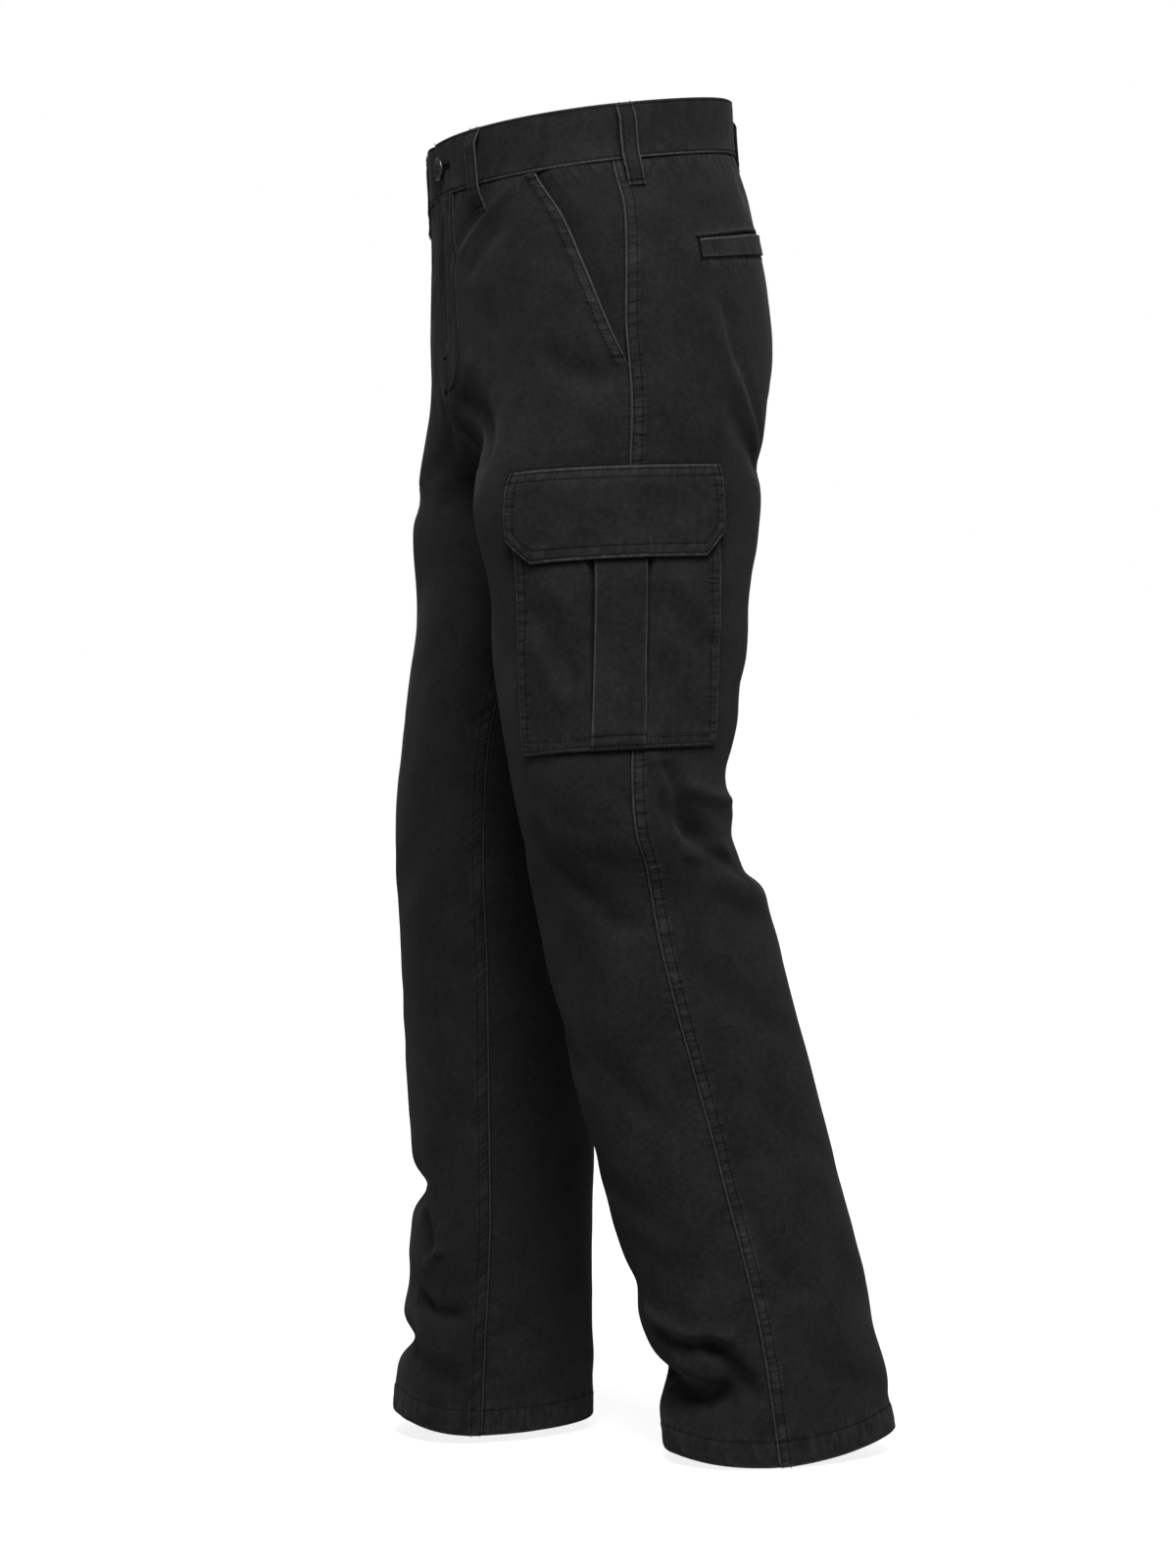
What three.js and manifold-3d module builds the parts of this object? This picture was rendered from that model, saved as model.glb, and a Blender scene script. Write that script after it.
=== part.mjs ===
// Men's cargo trousers in cotton twill, filled out as if worn and caught in mid-stride:
// the right leg is forward and the left leg is back.
// Millimetres, +Z up. The front faces -Y and the wearer's left is +X.
// The origin is the middle of the waist, where the wearer holds the trousers up.
import * as THREE from "three";
import Module from "manifold-3d";

// Cloth and seams
const CLOTH = 1.5; // one panel with its seam allowances
const BAND_CLOTH = 2.6; // the waistband: two layers and a stiffener
const GAP = 0.3; // between pieces at a seam
const LAID = 0.9; // between a piece and the curved cloth it lies on
const TURNED = 1.9; // cloth with its edge turned under and pressed

// Heights along the garment, as row labels. A row is level but for the waist tilt and the hem lift.
const BAND_TOP = 22;
const BAND_SEAM = -22;
const CROTCH = -255;
const HEM = -1018;

// Rise: how far above the crotch the centre seam has turned upright
const FRONT_RISE = 64;
const BACK_RISE = 130;

// Away from the crotch, the legs open into the seat more slowly: from this far below it to this far above
const OPENS_BELOW = 70;
const OPENS_ABOVE = 110;
const SEAM_REACH = 0.45; // "away" is this share of a panel from the centre seam
const LEG_ROUNDS = 120; // below the crotch a leg comes to its cut girth over this height

// The waist sits higher at the back, and rides up a little over belly and seat
const WAIST_TILT = 0.155;
const WAIST_CURL = 4;
const WAIST_TILT_ENDS = -200;
const WAIST_DEPTH = 120;

// The hem lifts off the ground all round, and more towards the toe and the heel, from this height down
const HEM_LIFT_STARTS = -860;
const HEM_LIFT = {
  left: { front: 7, back: 18, all: 0 },
  right: { front: 12, back: 2, all: 5 },
};

// Seat and hips, from the waistband down: depths of the centre seams and of the side seam, and half width
const TORSO = [
  { h: 22, front: -117, back: 116, seam: -22, side: 151 },
  { h: -22, front: -114, back: 119, seam: -23, side: 156 },
  { h: -60, front: -114, back: 130, seam: -19, side: 171 },
  { h: -105, front: -113, back: 141, seam: -21, side: 182 },
  { h: -150, front: -111, back: 148, seam: -23, side: 188 },
  { h: -190, front: -110, back: 153, seam: -23, side: 190 },
  { h: -255, front: -110, back: 154, seam: -23, side: 188 },
];

// Girth of one leg as it is cut
const LEG_GIRTH = [
  { h: -255, girth: 653 },
  { h: -345, girth: 612 },
  { h: -440, girth: 562 },
  { h: -540, girth: 525 },
  { h: -640, girth: 510 },
  { h: -1018, girth: 500 },
];

// How far the outseam lies ahead of the middle of the leg
const OUTSEAM_AHEAD = [
  { h: -255, left: 19, right: 0 },
  { h: -345, left: 21, right: -12 },
  { h: -540, left: 25, right: -11 },
  { h: -590, left: 31, right: -8 },
  { h: -650, left: 29, right: -8 },
  { h: -740, left: 25, right: -8 },
  { h: -824, left: 27, right: -8 },
  { h: -916, left: 33, right: -8 },
  { h: -1018, left: 31, right: -8 },
];

// Each leg: its front and back edge and inseam as depths, and its centre as a distance from the middle
const LEG = {
  left: [
    { h: -100, front: -98, back: 128, inseam: 5, centre: 91 },
    { h: -150, front: -101, back: 130, inseam: 5, centre: 94 },
    { h: -190, front: -112, back: 134, inseam: 5, centre: 95 },
    { h: -255, front: -121, back: 123, inseam: 5, centre: 94 },
    { h: -345, front: -99, back: 110, inseam: 3, centre: 97 },
    { h: -440, front: -86, back: 99, inseam: -3, centre: 98 },
    { h: -490, front: -78, back: 89, inseam: -4, centre: 98 },
    { h: -535, front: -70, back: 93, inseam: 0, centre: 98 },
    { h: -560, front: -65, back: 115, inseam: 6, centre: 98 },
    { h: -585, front: -59, back: 130, inseam: 12, centre: 98 },
    { h: -640, front: -47, back: 140, inseam: 26, centre: 98 },
    { h: -732, front: -26, back: 167, inseam: 50, centre: 98 },
    { h: -824, front: 2, back: 192, inseam: 77, centre: 98 },
    { h: -916, front: 32, back: 220, inseam: 104, centre: 98 },
    { h: -1018, front: 46, back: 234, inseam: 118, centre: 98 },
  ],
  right: [
    { h: -100, front: -98, back: 128, inseam: 5, centre: 91 },
    { h: -150, front: -101, back: 128, inseam: 5, centre: 94 },
    { h: -190, front: -113, back: 122, inseam: 5, centre: 95 },
    { h: -255, front: -117, back: 104, inseam: 5, centre: 94 },
    { h: -345, front: -110, back: 82, inseam: -37, centre: 96 },
    { h: -440, front: -115, back: 63, inseam: -69, centre: 97 },
    { h: -540, front: -124, back: 46, inseam: -75, centre: 98 },
    { h: -640, front: -118, back: 44, inseam: -72, centre: 98 },
    { h: -740, front: -112, back: 44, inseam: -71, centre: 98 },
    { h: -840, front: -109, back: 43, inseam: -70, centre: 98 },
    { h: -890, front: -114, back: 42, inseam: -71, centre: 98 },
    { h: -940, front: -117, back: 42, inseam: -73, centre: 98 },
    { h: -1018, front: -125, back: 41, inseam: -75, centre: 98 },
  ],
};

// The largest folds. s runs round a leg: 0 at the inseam, 1 at the outseam, 2 at the inseam again.
// depth is outwards, so a trough is negative. bow bends the fold sideways at its middle.
const PANEL_WIDTH = 255; // the length round the leg that one unit of s stands for in a fold
const FOLDS = [
  { leg: "left", from: [1.42, -489], to: [1.7, -489], depth: -7, width: 17, bow: 0 },
  { leg: "left", from: [1.1, -512], to: [1.66, -536], depth: -8, width: 13, bow: 34 },
  { leg: "left", from: [1.36, -517], to: [1.62, -517], depth: 5, width: 15, bow: 0 },
  { leg: "left", from: [0.5, -560], to: [0.78, -640], depth: -5, width: 34, bow: 0 },
  { leg: "left", from: [1.2, -595], to: [1.6, -590], depth: -4, width: 22, bow: 0 },
  { leg: "left", from: [1.25, -860], to: [1.55, -950], depth: -5, width: 26, bow: 0 },
  { leg: "left", from: [0.28, -946], to: [0.92, -965], depth: -20, width: 16, bow: 14 },
  { leg: "left", from: [0.3, -905], to: [0.75, -905], depth: 3, width: 20, bow: 10 },
  { leg: "left", from: [1.42, -246], to: [1.75, -262], depth: -4, width: 16, bow: 0 },
  { leg: "right", from: [0.3, -262], to: [0.62, -268], depth: -4, width: 14, bow: 0 },
  { leg: "right", from: [0.34, -820], to: [0.78, -822], depth: -12, width: 14, bow: 0 },
  { leg: "right", from: [0.24, -914], to: [0.6, -896], depth: -5, width: 18, bow: 0 },
  { leg: "right", from: [0.34, -954], to: [0.8, -954], depth: -11, width: 14, bow: 0 },
];

// Front pocket: the slanted mouth, from the waistband to the outseam
const MOUTH_AHEAD = 62; // its top, measured round the hip from the outseam
const MOUTH_FOOT = -182;
const FACING_LAP = 14; // how far the facing runs in under the front
const FACING_DEPTH = 2.7; // how far down it lies there
const FACING_RISE = 24; // and how soon it comes up to the face behind the mouth

// Welted back pocket
const WELT = { start: 66, length: 130, top: -88, height: 14, climb: 6 };

// Cargo pocket, measured round the thigh from the outseam; negative is towards the front
const CARGO = { from: -96, to: 78, top: -268, foot: -470, slope: 0.05 };
const CARGO_STAND = 1.8; // how far the pocket's middle stands off the leg
const CARGO_EASE = { top: 0.25, foot: 0.9, over: 0.05 }; // it rises and falls over these shares of its height
const PLEAT = { from: -30, to: 9, near: 3, far: 9 }; // the flap rises over the pleats from far to near
const FLAP = { from: -100, to: 82, top: -258, foot: -327, corner: 20, steep: 0.9 };
const FLAP_LIFT = { over: 0.3, start: -0.1, end: 0.25 }; // as shares of the pocket's and the flap's height

// Fly
const FLY = { width: 30, past: 4, foot: -188, curve: 34, thick: 0.9, round: 0.96 };

// Belt loops: the seam each is measured from (0 front centre, 1 outseam, 2 back centre), how far behind it
// the loop's middle lies, and how far the loop stands off the band. The front one of the right side lies flat.
const LOOP = { width: 14, thick: 1.8, foot: -44, topIn: 0.5, slope: 0.22 };
const LOOPS = [
  { name: "belt_loop_front_left", leg: "left", from: 0, distance: 72, stand: 5.8 },
  { name: "belt_loop_front_right", leg: "right", from: 0, distance: 84, stand: 0.9 },
  { name: "belt_loop_side_left", leg: "left", from: 1, distance: 9.5, stand: 5.8 },
  { name: "belt_loop_side_right", leg: "right", from: 1, distance: 9.5, stand: 5.8 },
  { name: "belt_loop_back", leg: "left", from: 2, distance: 0, stand: 5.8 },
];

// Waistband ends: the left end laps over the right one
const BAND_LAP = 14;
const BAND_UNDER = 24;
const BAND_DUCKS = { from: 2.6, to: 1.3 }; // where the right end ducks, in laps before the centre
const BAND_PROUD = 0.9; // the band's face stands this far out from the panels
const BAND_STEP = { from: 2, to: 7 }; // a loop comes down from the band's face over this much below the seam

// Button
const BUTTON = { radius: 9, thick: 3.4, rim: 1.6, sunk: 1, edge: 0.8, hole: 1.1, spread: 1.9, h: 0, side: 7 };

// How finely the pieces are divided, in strips
const SEAT_ROWS = 13;
const LEG_ROWS = { thigh: 9, knee: 8, shin: 6, break: 8 };
const KNEE = { top: -470, foot: -600 };
const BREAK_TOP = -880; // the cloth breaks over the foot below this
const PANEL_COLUMNS = 14;
const FACING_COLUMNS = 6;
const CARGO_ROWS = 8;
const CARGO_COLUMNS = 20;
const PLEAT_COLUMNS = 5;
const LOOP_ROWS = 10;
const BAND_GRID = { rows: 3, columns: 58 };
const FLY_GRID = { rows: 9, columns: 5 };
const FLAP_GRID = { rows: 5, columns: 15 };
const WELT_GRID = { rows: 2, columns: 12 };
const BUTTON_SIDES = 28;
const HOLE_SIDES = 10;
const HERE = 1e-6; // a distance too short to matter, where none would leave travel without a direction

const clamp = (x, low, high) => Math.min(high, Math.max(low, x));
const lerp = (a, b, t) => a + (b - a) * t;
const smooth = (low, high, x) => {
  const t = clamp((x - low) / (high - low), 0, 1);
  return t * t * (3 - 2 * t);
};

// A smooth curve through one column of a table whose rows run downwards
function column(table, name, h) {
  const last = table.length - 1;
  if (h >= table[0].h) return table[0][name];
  if (h <= table[last].h) return table[last][name];
  let i = 0;
  while (table[i + 1].h > h) i += 1;
  const slope = (k) => {
    const a = table[Math.max(k - 1, 0)];
    const b = table[Math.min(k + 1, last)];
    return (b[name] - a[name]) / (b.h - a.h);
  };
  const a = table[i];
  const b = table[i + 1];
  const span = b.h - a.h;
  const t = (h - a.h) / span;
  return (
    a[name] * (1 + 2 * t) * (1 - t) ** 2 +
    b[name] * t * t * (3 - 2 * t) +
    span * slope(i) * t * (1 - t) ** 2 -
    span * slope(i + 1) * t * t * (1 - t)
  );
}

// Half the width of a leg, from its cut girth and its depth. At the crotch both legs share the seat's width.
function legHalfWidth(leg, h, halfDepth) {
  const seat = column(TORSO, "side", h) / 2;
  const girth = column(LEG_GIRTH, "girth", h);
  const cut = Math.sqrt(girth ** 2 / (2 * Math.PI ** 2) - halfDepth ** 2);
  return lerp(seat, cut, smooth(CROTCH, CROTCH - LEG_ROUNDS, h));
}

function legPoint(leg, s, h) {
  const table = LEG[leg];
  const front = column(table, "front", h);
  const back = column(table, "back", h);
  const middle = (front + back) / 2;
  const halfDepth = (back - front) / 2;
  const halfWidth = legHalfWidth(leg, h, halfDepth);
  const centre = h > CROTCH ? halfWidth : column(table, "centre", h);
  const angle = Math.PI * s;
  const inner = ((1 + Math.cos(angle)) / 2) ** 3;
  const outer = ((1 - Math.cos(angle)) / 2) ** 3;
  const y =
    middle -
    halfDepth * Math.sin(angle) +
    inner * (column(table, "inseam", h) - middle) -
    outer * column(OUTSEAM_AHEAD, leg, h);
  return { x: centre - halfWidth * Math.cos(angle), y };
}

function torsoPoint(s, h) {
  const seam = column(TORSO, "seam", h);
  const end = column(TORSO, s < 1 ? "front" : "back", h);
  const quarter = (Math.PI / 2) * s;
  return {
    x: column(TORSO, "side", h) * Math.sin(quarter),
    y: seam + (end - seam) * Math.abs(Math.cos(quarter)),
  };
}

// The garment before it is folded. Above the crotch the leg's ring opens out into half of the seat's.
function plainPoint(leg, s, h) {
  const rise = (height) => Math.sqrt(1 - (1 - clamp((h - CROTCH) / height, 0, 1)) ** 2);
  const curve = s < 1 ? rise(FRONT_RISE) : rise(BACK_RISE);
  const away = smooth(0, SEAM_REACH, Math.min(s, 2 - s));
  const share = lerp(curve, smooth(CROTCH - OPENS_BELOW, CROTCH + OPENS_ABOVE, h), away);
  const low = legPoint(leg, s, h);
  const high = torsoPoint(s, h);
  const x = lerp(low.x, high.x, share);
  const y = lerp(low.y, high.y, share);
  const tilt = smooth(WAIST_TILT_ENDS, BAND_SEAM, h);
  const down = smooth(HEM_LIFT_STARTS, HEM, h);
  const lift = down * Math.sin(Math.PI * s) ** 2;
  const z =
    h +
    tilt * (WAIST_TILT * y + WAIST_CURL * (y / WAIST_DEPTH) ** 2) +
    lift * HEM_LIFT[leg][s < 1 ? "front" : "back"] +
    down * HEM_LIFT[leg].all;
  return new THREE.Vector3(leg === "left" ? x : -x, y, z);
}

function foldHeight(leg, s, h) {
  let height = 0;
  for (const fold of FOLDS) {
    if (fold.leg !== leg) continue;
    const along = new THREE.Vector2((fold.to[0] - fold.from[0]) * PANEL_WIDTH, fold.to[1] - fold.from[1]);
    const length = along.length();
    along.normalize();
    const reach = new THREE.Vector2((s - fold.from[0]) * PANEL_WIDTH, h - fold.from[1]);
    const t = reach.dot(along) / length;
    const middle = clamp(t, 0, 1);
    const off = reach.cross(along) - 4 * fold.bow * middle * (1 - middle);
    const soft = fold.width / length;
    const ends = smooth(-soft, soft, t) * smooth(1 + soft, 1 - soft, t);
    height += fold.depth * ends * Math.exp(-((off / fold.width) ** 2));
  }
  return height;
}

const STEP_S = 1e-3;
const STEP_H = 3;
const TRAVEL_STEP = 0.0025;

// The outward normal of a surface given as a function of s and h. At a centre seam it leans to neither side.
function normalOf(surface, leg, s, h) {
  const atCentre = h > CROTCH - STEP_H && (s < STEP_S || s > 2 - STEP_S);
  if (atCentre && h < CROTCH + STEP_H) return new THREE.Vector3(0, 0, -1);
  const next = (step) => (atCentre ? clamp(s + step, 0, 2) : (s + step + 2) % 2);
  const round = surface(leg, next(STEP_S), h).sub(surface(leg, next(-STEP_S), h));
  const up = surface(leg, s, h + STEP_H).sub(surface(leg, s, h - STEP_H));
  const normal = round.cross(up).normalize();
  const outwards = leg === "left" ? 1 : -1;
  normal.multiplyScalar(outwards);
  if (atCentre) {
    normal.x = 0;
    normal.normalize();
  }
  return normal;
}

function clothPoint(leg, s, h) {
  const height = foldHeight(leg, s, h);
  const point = plainPoint(leg, s, h);
  return height === 0 ? point : point.addScaledVector(normalOf(plainPoint, leg, s, h), height);
}

// A point of the garment's face moved out by offset. s below 0 and above 2 carries on over the centre seam.
function facePoint(leg, s, h, offset) {
  const other = leg === "left" ? "right" : "left";
  if (s < 0) return facePoint(other, -s, h, offset);
  if (s > 2) return facePoint(other, 4 - s, h, offset);
  return clothPoint(leg, s, h).addScaledVector(normalOf(clothPoint, leg, s, h), offset);
}

// The s that lies some millimetres round the garment from a start, towards the back if positive
function travel(leg, start, h, distance) {
  const step = Math.sign(distance) * TRAVEL_STEP;
  let s = start;
  let left = Math.abs(distance);
  let here = plainPoint(leg, s, h);
  while (left > 0) {
    const next = plainPoint(leg, s + step, h);
    const length = next.distanceTo(here);
    if (length >= left) return s + (step * left) / length;
    left -= length;
    s += step;
    here = next;
  }
  return s;
}

const steps = (from, to, count) => Array.from({ length: count + 1 }, (_, i) => lerp(from, to, i / count));

// A closed wall between two grids of points, outer[row][column] and inner[row][column]
function wall(outer, inner) {
  const rows = outer.length;
  const columns = outer[0].length;
  const points = [...outer.flat(), ...inner.flat()];
  const at = (layer, i, j) => layer * rows * columns + i * columns + j;
  const index = [];
  const quad = (a, b, c, d) => index.push(a, b, c, a, c, d);
  for (let i = 0; i + 1 < rows; i += 1) {
    for (let j = 0; j + 1 < columns; j += 1) {
      quad(at(0, i, j), at(0, i + 1, j), at(0, i + 1, j + 1), at(0, i, j + 1));
      quad(at(1, i, j), at(1, i, j + 1), at(1, i + 1, j + 1), at(1, i + 1, j));
    }
    quad(at(0, i, 0), at(1, i, 0), at(1, i + 1, 0), at(0, i + 1, 0));
    quad(at(0, i, columns - 1), at(0, i + 1, columns - 1), at(1, i + 1, columns - 1), at(1, i, columns - 1));
  }
  for (let j = 0; j + 1 < columns; j += 1) {
    quad(at(0, 0, j), at(0, 0, j + 1), at(1, 0, j + 1), at(1, 0, j));
    quad(at(0, rows - 1, j), at(1, rows - 1, j), at(1, rows - 1, j + 1), at(0, rows - 1, j + 1));
  }
  return outwards(points, index);
}

// Geometry from points and triangles, turned so that its faces point out
function outwards(points, index) {
  let volume = 0;
  for (let i = 0; i < index.length; i += 3) {
    const [a, b, c] = [points[index[i]], points[index[i + 1]], points[index[i + 2]]];
    volume += a.dot(new THREE.Vector3().crossVectors(b, c));
  }
  if (volume < 0) {
    for (let i = 0; i < index.length; i += 3) {
      [index[i + 1], index[i + 2]] = [index[i + 2], index[i + 1]];
    }
  }
  const geometry = new THREE.BufferGeometry().setFromPoints(points);
  geometry.setIndex(index);
  return geometry;
}

// A wall on the garment: rows of heights, and for each height the s at its columns.
// A row is a height, or an object whose at(share) gives the height along it.
// outer and inner are offsets from the face, as numbers or as functions of (s, h, row share, column share).
function clothWall(leg, rows, columnsOf, outer, inner) {
  const offset = (value, ...place) => (typeof value === "function" ? value(...place) : value);
  const layer = (value) =>
    rows.map((row, i) => {
      const columns = columnsOf(row);
      const down = i / (rows.length - 1);
      return columns.map((s, j) => {
        const across = j / (columns.length - 1);
        const h = typeof row === "object" ? row.at(across) : row;
        return facePoint(leg, s, h, offset(value, s, h, down, across));
      });
    });
  return wall(layer(outer), layer(inner));
}

const twill = (name) => {
  const material = new THREE.MeshStandardMaterial({ color: 0x26262a, roughness: 0.9, metalness: 0 });
  material.name = name;
  return material;
};
const horn = new THREE.MeshStandardMaterial({ color: 0x17171a, roughness: 0.35, metalness: 0 });

const trousers = new THREE.Group();
function add(name, geometry, material = twill(name)) {
  const mesh = new THREE.Mesh(geometry, material);
  mesh.name = name;
  trousers.add(mesh);
  return mesh;
}

// Rows of the panels: close together where the centre seam turns under, at the knee and at the hem
const seatRows = (top) => steps(1, 0, SEAT_ROWS).slice(0, -1).map((share) => lerp(CROTCH, top, share ** 2));
const legRows = [
  ...steps(CROTCH, KNEE.top, LEG_ROWS.thigh),
  ...steps(KNEE.top, KNEE.foot, LEG_ROWS.knee).slice(1),
  ...steps(KNEE.foot, BREAK_TOP, LEG_ROWS.shin).slice(1),
  ...steps(BREAK_TOP, HEM, LEG_ROWS.break).slice(1),
];
const panelRows = [...seatRows(BAND_SEAM - GAP), ...legRows];
const SEAM_S = GAP / 2 / PANEL_WIDTH; // half a seam's gap, as a share of a panel

// The s of the front pocket's mouth at a height, set back from the outseam
function mouthAt(leg, h) {
  const share = clamp((h - MOUTH_FOOT) / (BAND_SEAM - MOUTH_FOOT), 0, 1);
  return share > 0 ? travel(leg, 1, h, -MOUTH_AHEAD * share) : 1;
}

function frontPanel(leg) {
  const edge = (h) => Math.min(mouthAt(leg, h), 1 - SEAM_S);
  return clothWall(leg, panelRows, (h) => steps(SEAM_S, edge(h), PANEL_COLUMNS), 0, -CLOTH);
}

function backPanel(leg) {
  return clothWall(leg, panelRows, () => steps(1 + SEAM_S, 2 - SEAM_S, PANEL_COLUMNS), 0, -CLOTH);
}

// The cloth that shows inside the slanted mouth. It starts one layer down and meets the side seam at the face.
function hipFacing(leg) {
  const rows = panelRows.filter((h) => h > MOUTH_FOOT);
  const from = (h) => travel(leg, mouthAt(leg, h), h, -FACING_LAP);
  const top = (s, h) => -FACING_DEPTH * (1 - smooth(0, FACING_RISE, (s - mouthAt(leg, h)) * PANEL_WIDTH));
  const columns = (h) => steps(from(h), 1 - SEAM_S, FACING_COLUMNS);
  return clothWall(leg, rows, columns, top, (...at) => top(...at) - CLOTH);
}

// One band round the waist. Its right end ducks in under the left end.
function waistband() {
  const rows = steps(BAND_SEAM + GAP / 2, BAND_TOP, BAND_GRID.rows);
  const lap = -BAND_LAP / PANEL_WIDTH;
  const under = 4 + BAND_UNDER / PANEL_WIDTH;
  const ducked = BAND_CLOTH + GAP;
  const duck = (q) => ducked * smooth(4 + BAND_DUCKS.from * lap, 4 + BAND_DUCKS.to * lap, q);
  const layer = (offset) =>
    rows.map((h) =>
      steps(lap, under, BAND_GRID.columns).map((q) => {
        const s = q > 2 ? 4 - q : q;
        return facePoint(q > 2 ? "right" : "left", s, h, offset - duck(q));
      }),
    );
  return wall(layer(BAND_PROUD), layer(BAND_PROUD - BAND_CLOTH));
}

// The fly lies on the left front, past the centre line on one side and J-shaped on the other
function fly() {
  const rows = steps(BAND_SEAM - GAP, FLY.foot, FLY_GRID.rows);
  const across = (mm) => mm / PANEL_WIDTH;
  const width = (h) => {
    const down = clamp((FLY.foot + FLY.curve - h) / FLY.curve, 0, 1);
    return FLY.past + (FLY.width - FLY.past) * Math.sqrt(1 - FLY.round * down ** 2);
  };
  const columns = (h) => steps(-across(FLY.past), across(width(h)), FLY_GRID.columns);
  return clothWall("left", rows, columns, LAID + FLY.thick, LAID);
}

// A strap over the band, fixed at the band's top and again below its seam
function beltLoop({ leg, from, distance, stand }) {
  const centre = travel(leg, from, BAND_TOP, distance);
  const here = plainPoint(leg, centre, BAND_TOP);
  const next = plainPoint(leg, centre + STEP_S, BAND_TOP);
  const backwards = (next.y - here.y) / next.distanceTo(here);
  const rows = steps(BAND_TOP - LOOP.topIn, LOOP.foot, LOOP_ROWS);
  // The strap follows the tilt of the waist, so its foot drifts along the band
  const middle = (h) => travel(leg, centre, h, ((BAND_TOP - h) / 2) * WAIST_TILT * backwards || HERE);
  const columns = (h) => {
    const half = LOOP.width / 2;
    return [travel(leg, middle(h), h, -half), middle(h), travel(leg, middle(h), h, half)];
  };
  const seat = (h) => GAP + BAND_PROUD * smooth(BAND_SEAM - BAND_STEP.to, BAND_SEAM - BAND_STEP.from, h);
  const bowed = (share) => stand * smooth(0, LOOP.slope, share) * smooth(1, 1 - LOOP.slope, share);
  const inner = (s, h, share) => seat(h) + bowed(share);
  return clothWall(leg, rows, columns, (s, h, share) => inner(s, h, share) + LOOP.thick, inner);
}

// Four sew-through holes, a sunk middle and a raised rim
async function button() {
  const wasm = await Module();
  wasm.setup();
  const { radius, thick, rim, sunk, edge, hole, spread } = BUTTON;
  const profile = [
    [0, 0],
    [radius - edge, 0],
    [radius, edge],
    [radius, thick - edge],
    [radius - edge, thick],
    [radius - rim, thick],
    [radius - rim - sunk, thick - sunk],
    [0, thick - sunk],
  ].map(([x, y]) => new THREE.Vector2(x, y));
  const solid = (geometry) => {
    const plain = new THREE.BufferGeometry().setAttribute("position", geometry.getAttribute("position"));
    const merged = merge(plain.setIndex(geometry.index));
    const triVerts = new Uint32Array(merged.index.array);
    const vertProperties = merged.attributes.position.array;
    return new wasm.Manifold(new wasm.Mesh({ numProp: 3, vertProperties, triVerts }));
  };
  let body = solid(new THREE.LatheGeometry(profile, BUTTON_SIDES));
  for (const [x, z] of [[1, 1], [1, -1], [-1, 1], [-1, -1]]) {
    const drill = new THREE.CylinderGeometry(hole, hole, 3 * thick, HOLE_SIDES);
    body = body.subtract(solid(drill.translate(x * spread, 0, z * spread)));
  }
  const mesh = body.getMesh();
  const geometry = new THREE.BufferGeometry();
  geometry.setAttribute("position", new THREE.BufferAttribute(mesh.vertProperties, 3));
  geometry.setIndex(new THREE.BufferAttribute(mesh.triVerts, 1));
  return geometry;
}

// Corners of a geometry that lie in one place become one, and triangles of no area go
function merge(geometry) {
  const places = new Map();
  const position = geometry.getAttribute("position");
  const found = Array.from({ length: position.count }, (_, i) => {
    const key = [position.getX(i), position.getY(i), position.getZ(i)].map((x) => Math.round(x * 1e4)).join();
    if (!places.has(key)) places.set(key, places.size);
    return places.get(key);
  });
  const points = [...places.keys()].map((key) => new THREE.Vector3(...key.split(",").map((x) => x / 1e4)));
  const index = [];
  for (let i = 0; i < geometry.index.count; i += 3) {
    const triangle = [0, 1, 2].map((k) => found[geometry.index.getX(i + k)]);
    if (new Set(triangle).size === 3) index.push(...triangle);
  }
  return outwards(points, index);
}

// A strip let into the back below its pocket's opening
function welt(leg) {
  const place = (share) => travel(leg, 1, WELT.top, WELT.start + WELT.length * share);
  const s = steps(0, 1, WELT_GRID.columns).map(place);
  const line = (down) => ({ at: (share) => WELT.top + WELT.climb * share - down });
  const rows = steps(0, WELT.height, WELT_GRID.rows).map(line);
  return clothWall(leg, rows, () => s, LAID + CLOTH, LAID);
}

// How far a cargo pocket's cloth stands off the leg, by its share across and down
function cargoStand(across, down) {
  const rise = smooth(0, CARGO_EASE.top, down + CARGO_EASE.over);
  const fall = smooth(1 + CARGO_EASE.over, CARGO_EASE.foot, down);
  return CARGO_STAND * Math.sqrt(Math.sin(Math.PI * across)) * rise * fall;
}

function cargoRows(top, foot, count, slopeAt) {
  return steps(top, foot, count).map((h) => ({ at: (share) => h + slopeAt(share) }));
}

// A patch over the cargo pocket's height, from and to millimetres behind the outseam
function cargoPatch(leg, { from, to }, columnCount, thick, inner) {
  const slope = (share) => CARGO.slope * lerp(from, to, share);
  const rows = cargoRows(CARGO.top, CARGO.foot, CARGO_ROWS, slope);
  const s = (h) => steps(from, to, columnCount).map((mm) => travel(leg, 1, h.at(0.5), mm || HERE));
  return clothWall(leg, rows, s, (...at) => inner(...at) + thick, inner);
}

const shareAcross = (mm) => clamp((mm - CARGO.from) / (CARGO.to - CARGO.from), 0, 1);

function cargoPocket(leg) {
  const inner = (s, h, down, across) => LAID + cargoStand(across, down);
  return cargoPatch(leg, CARGO, CARGO_COLUMNS, TURNED, inner);
}

// The raised strip between the two pleats
function cargoPleat(leg) {
  const inner = (s, h, down, across) => {
    const mm = lerp(PLEAT.from, PLEAT.to, across);
    return 2 * LAID + TURNED + cargoStand(shareAcross(mm), down);
  };
  return cargoPatch(leg, PLEAT, PLEAT_COLUMNS, CLOTH, inner);
}

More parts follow.
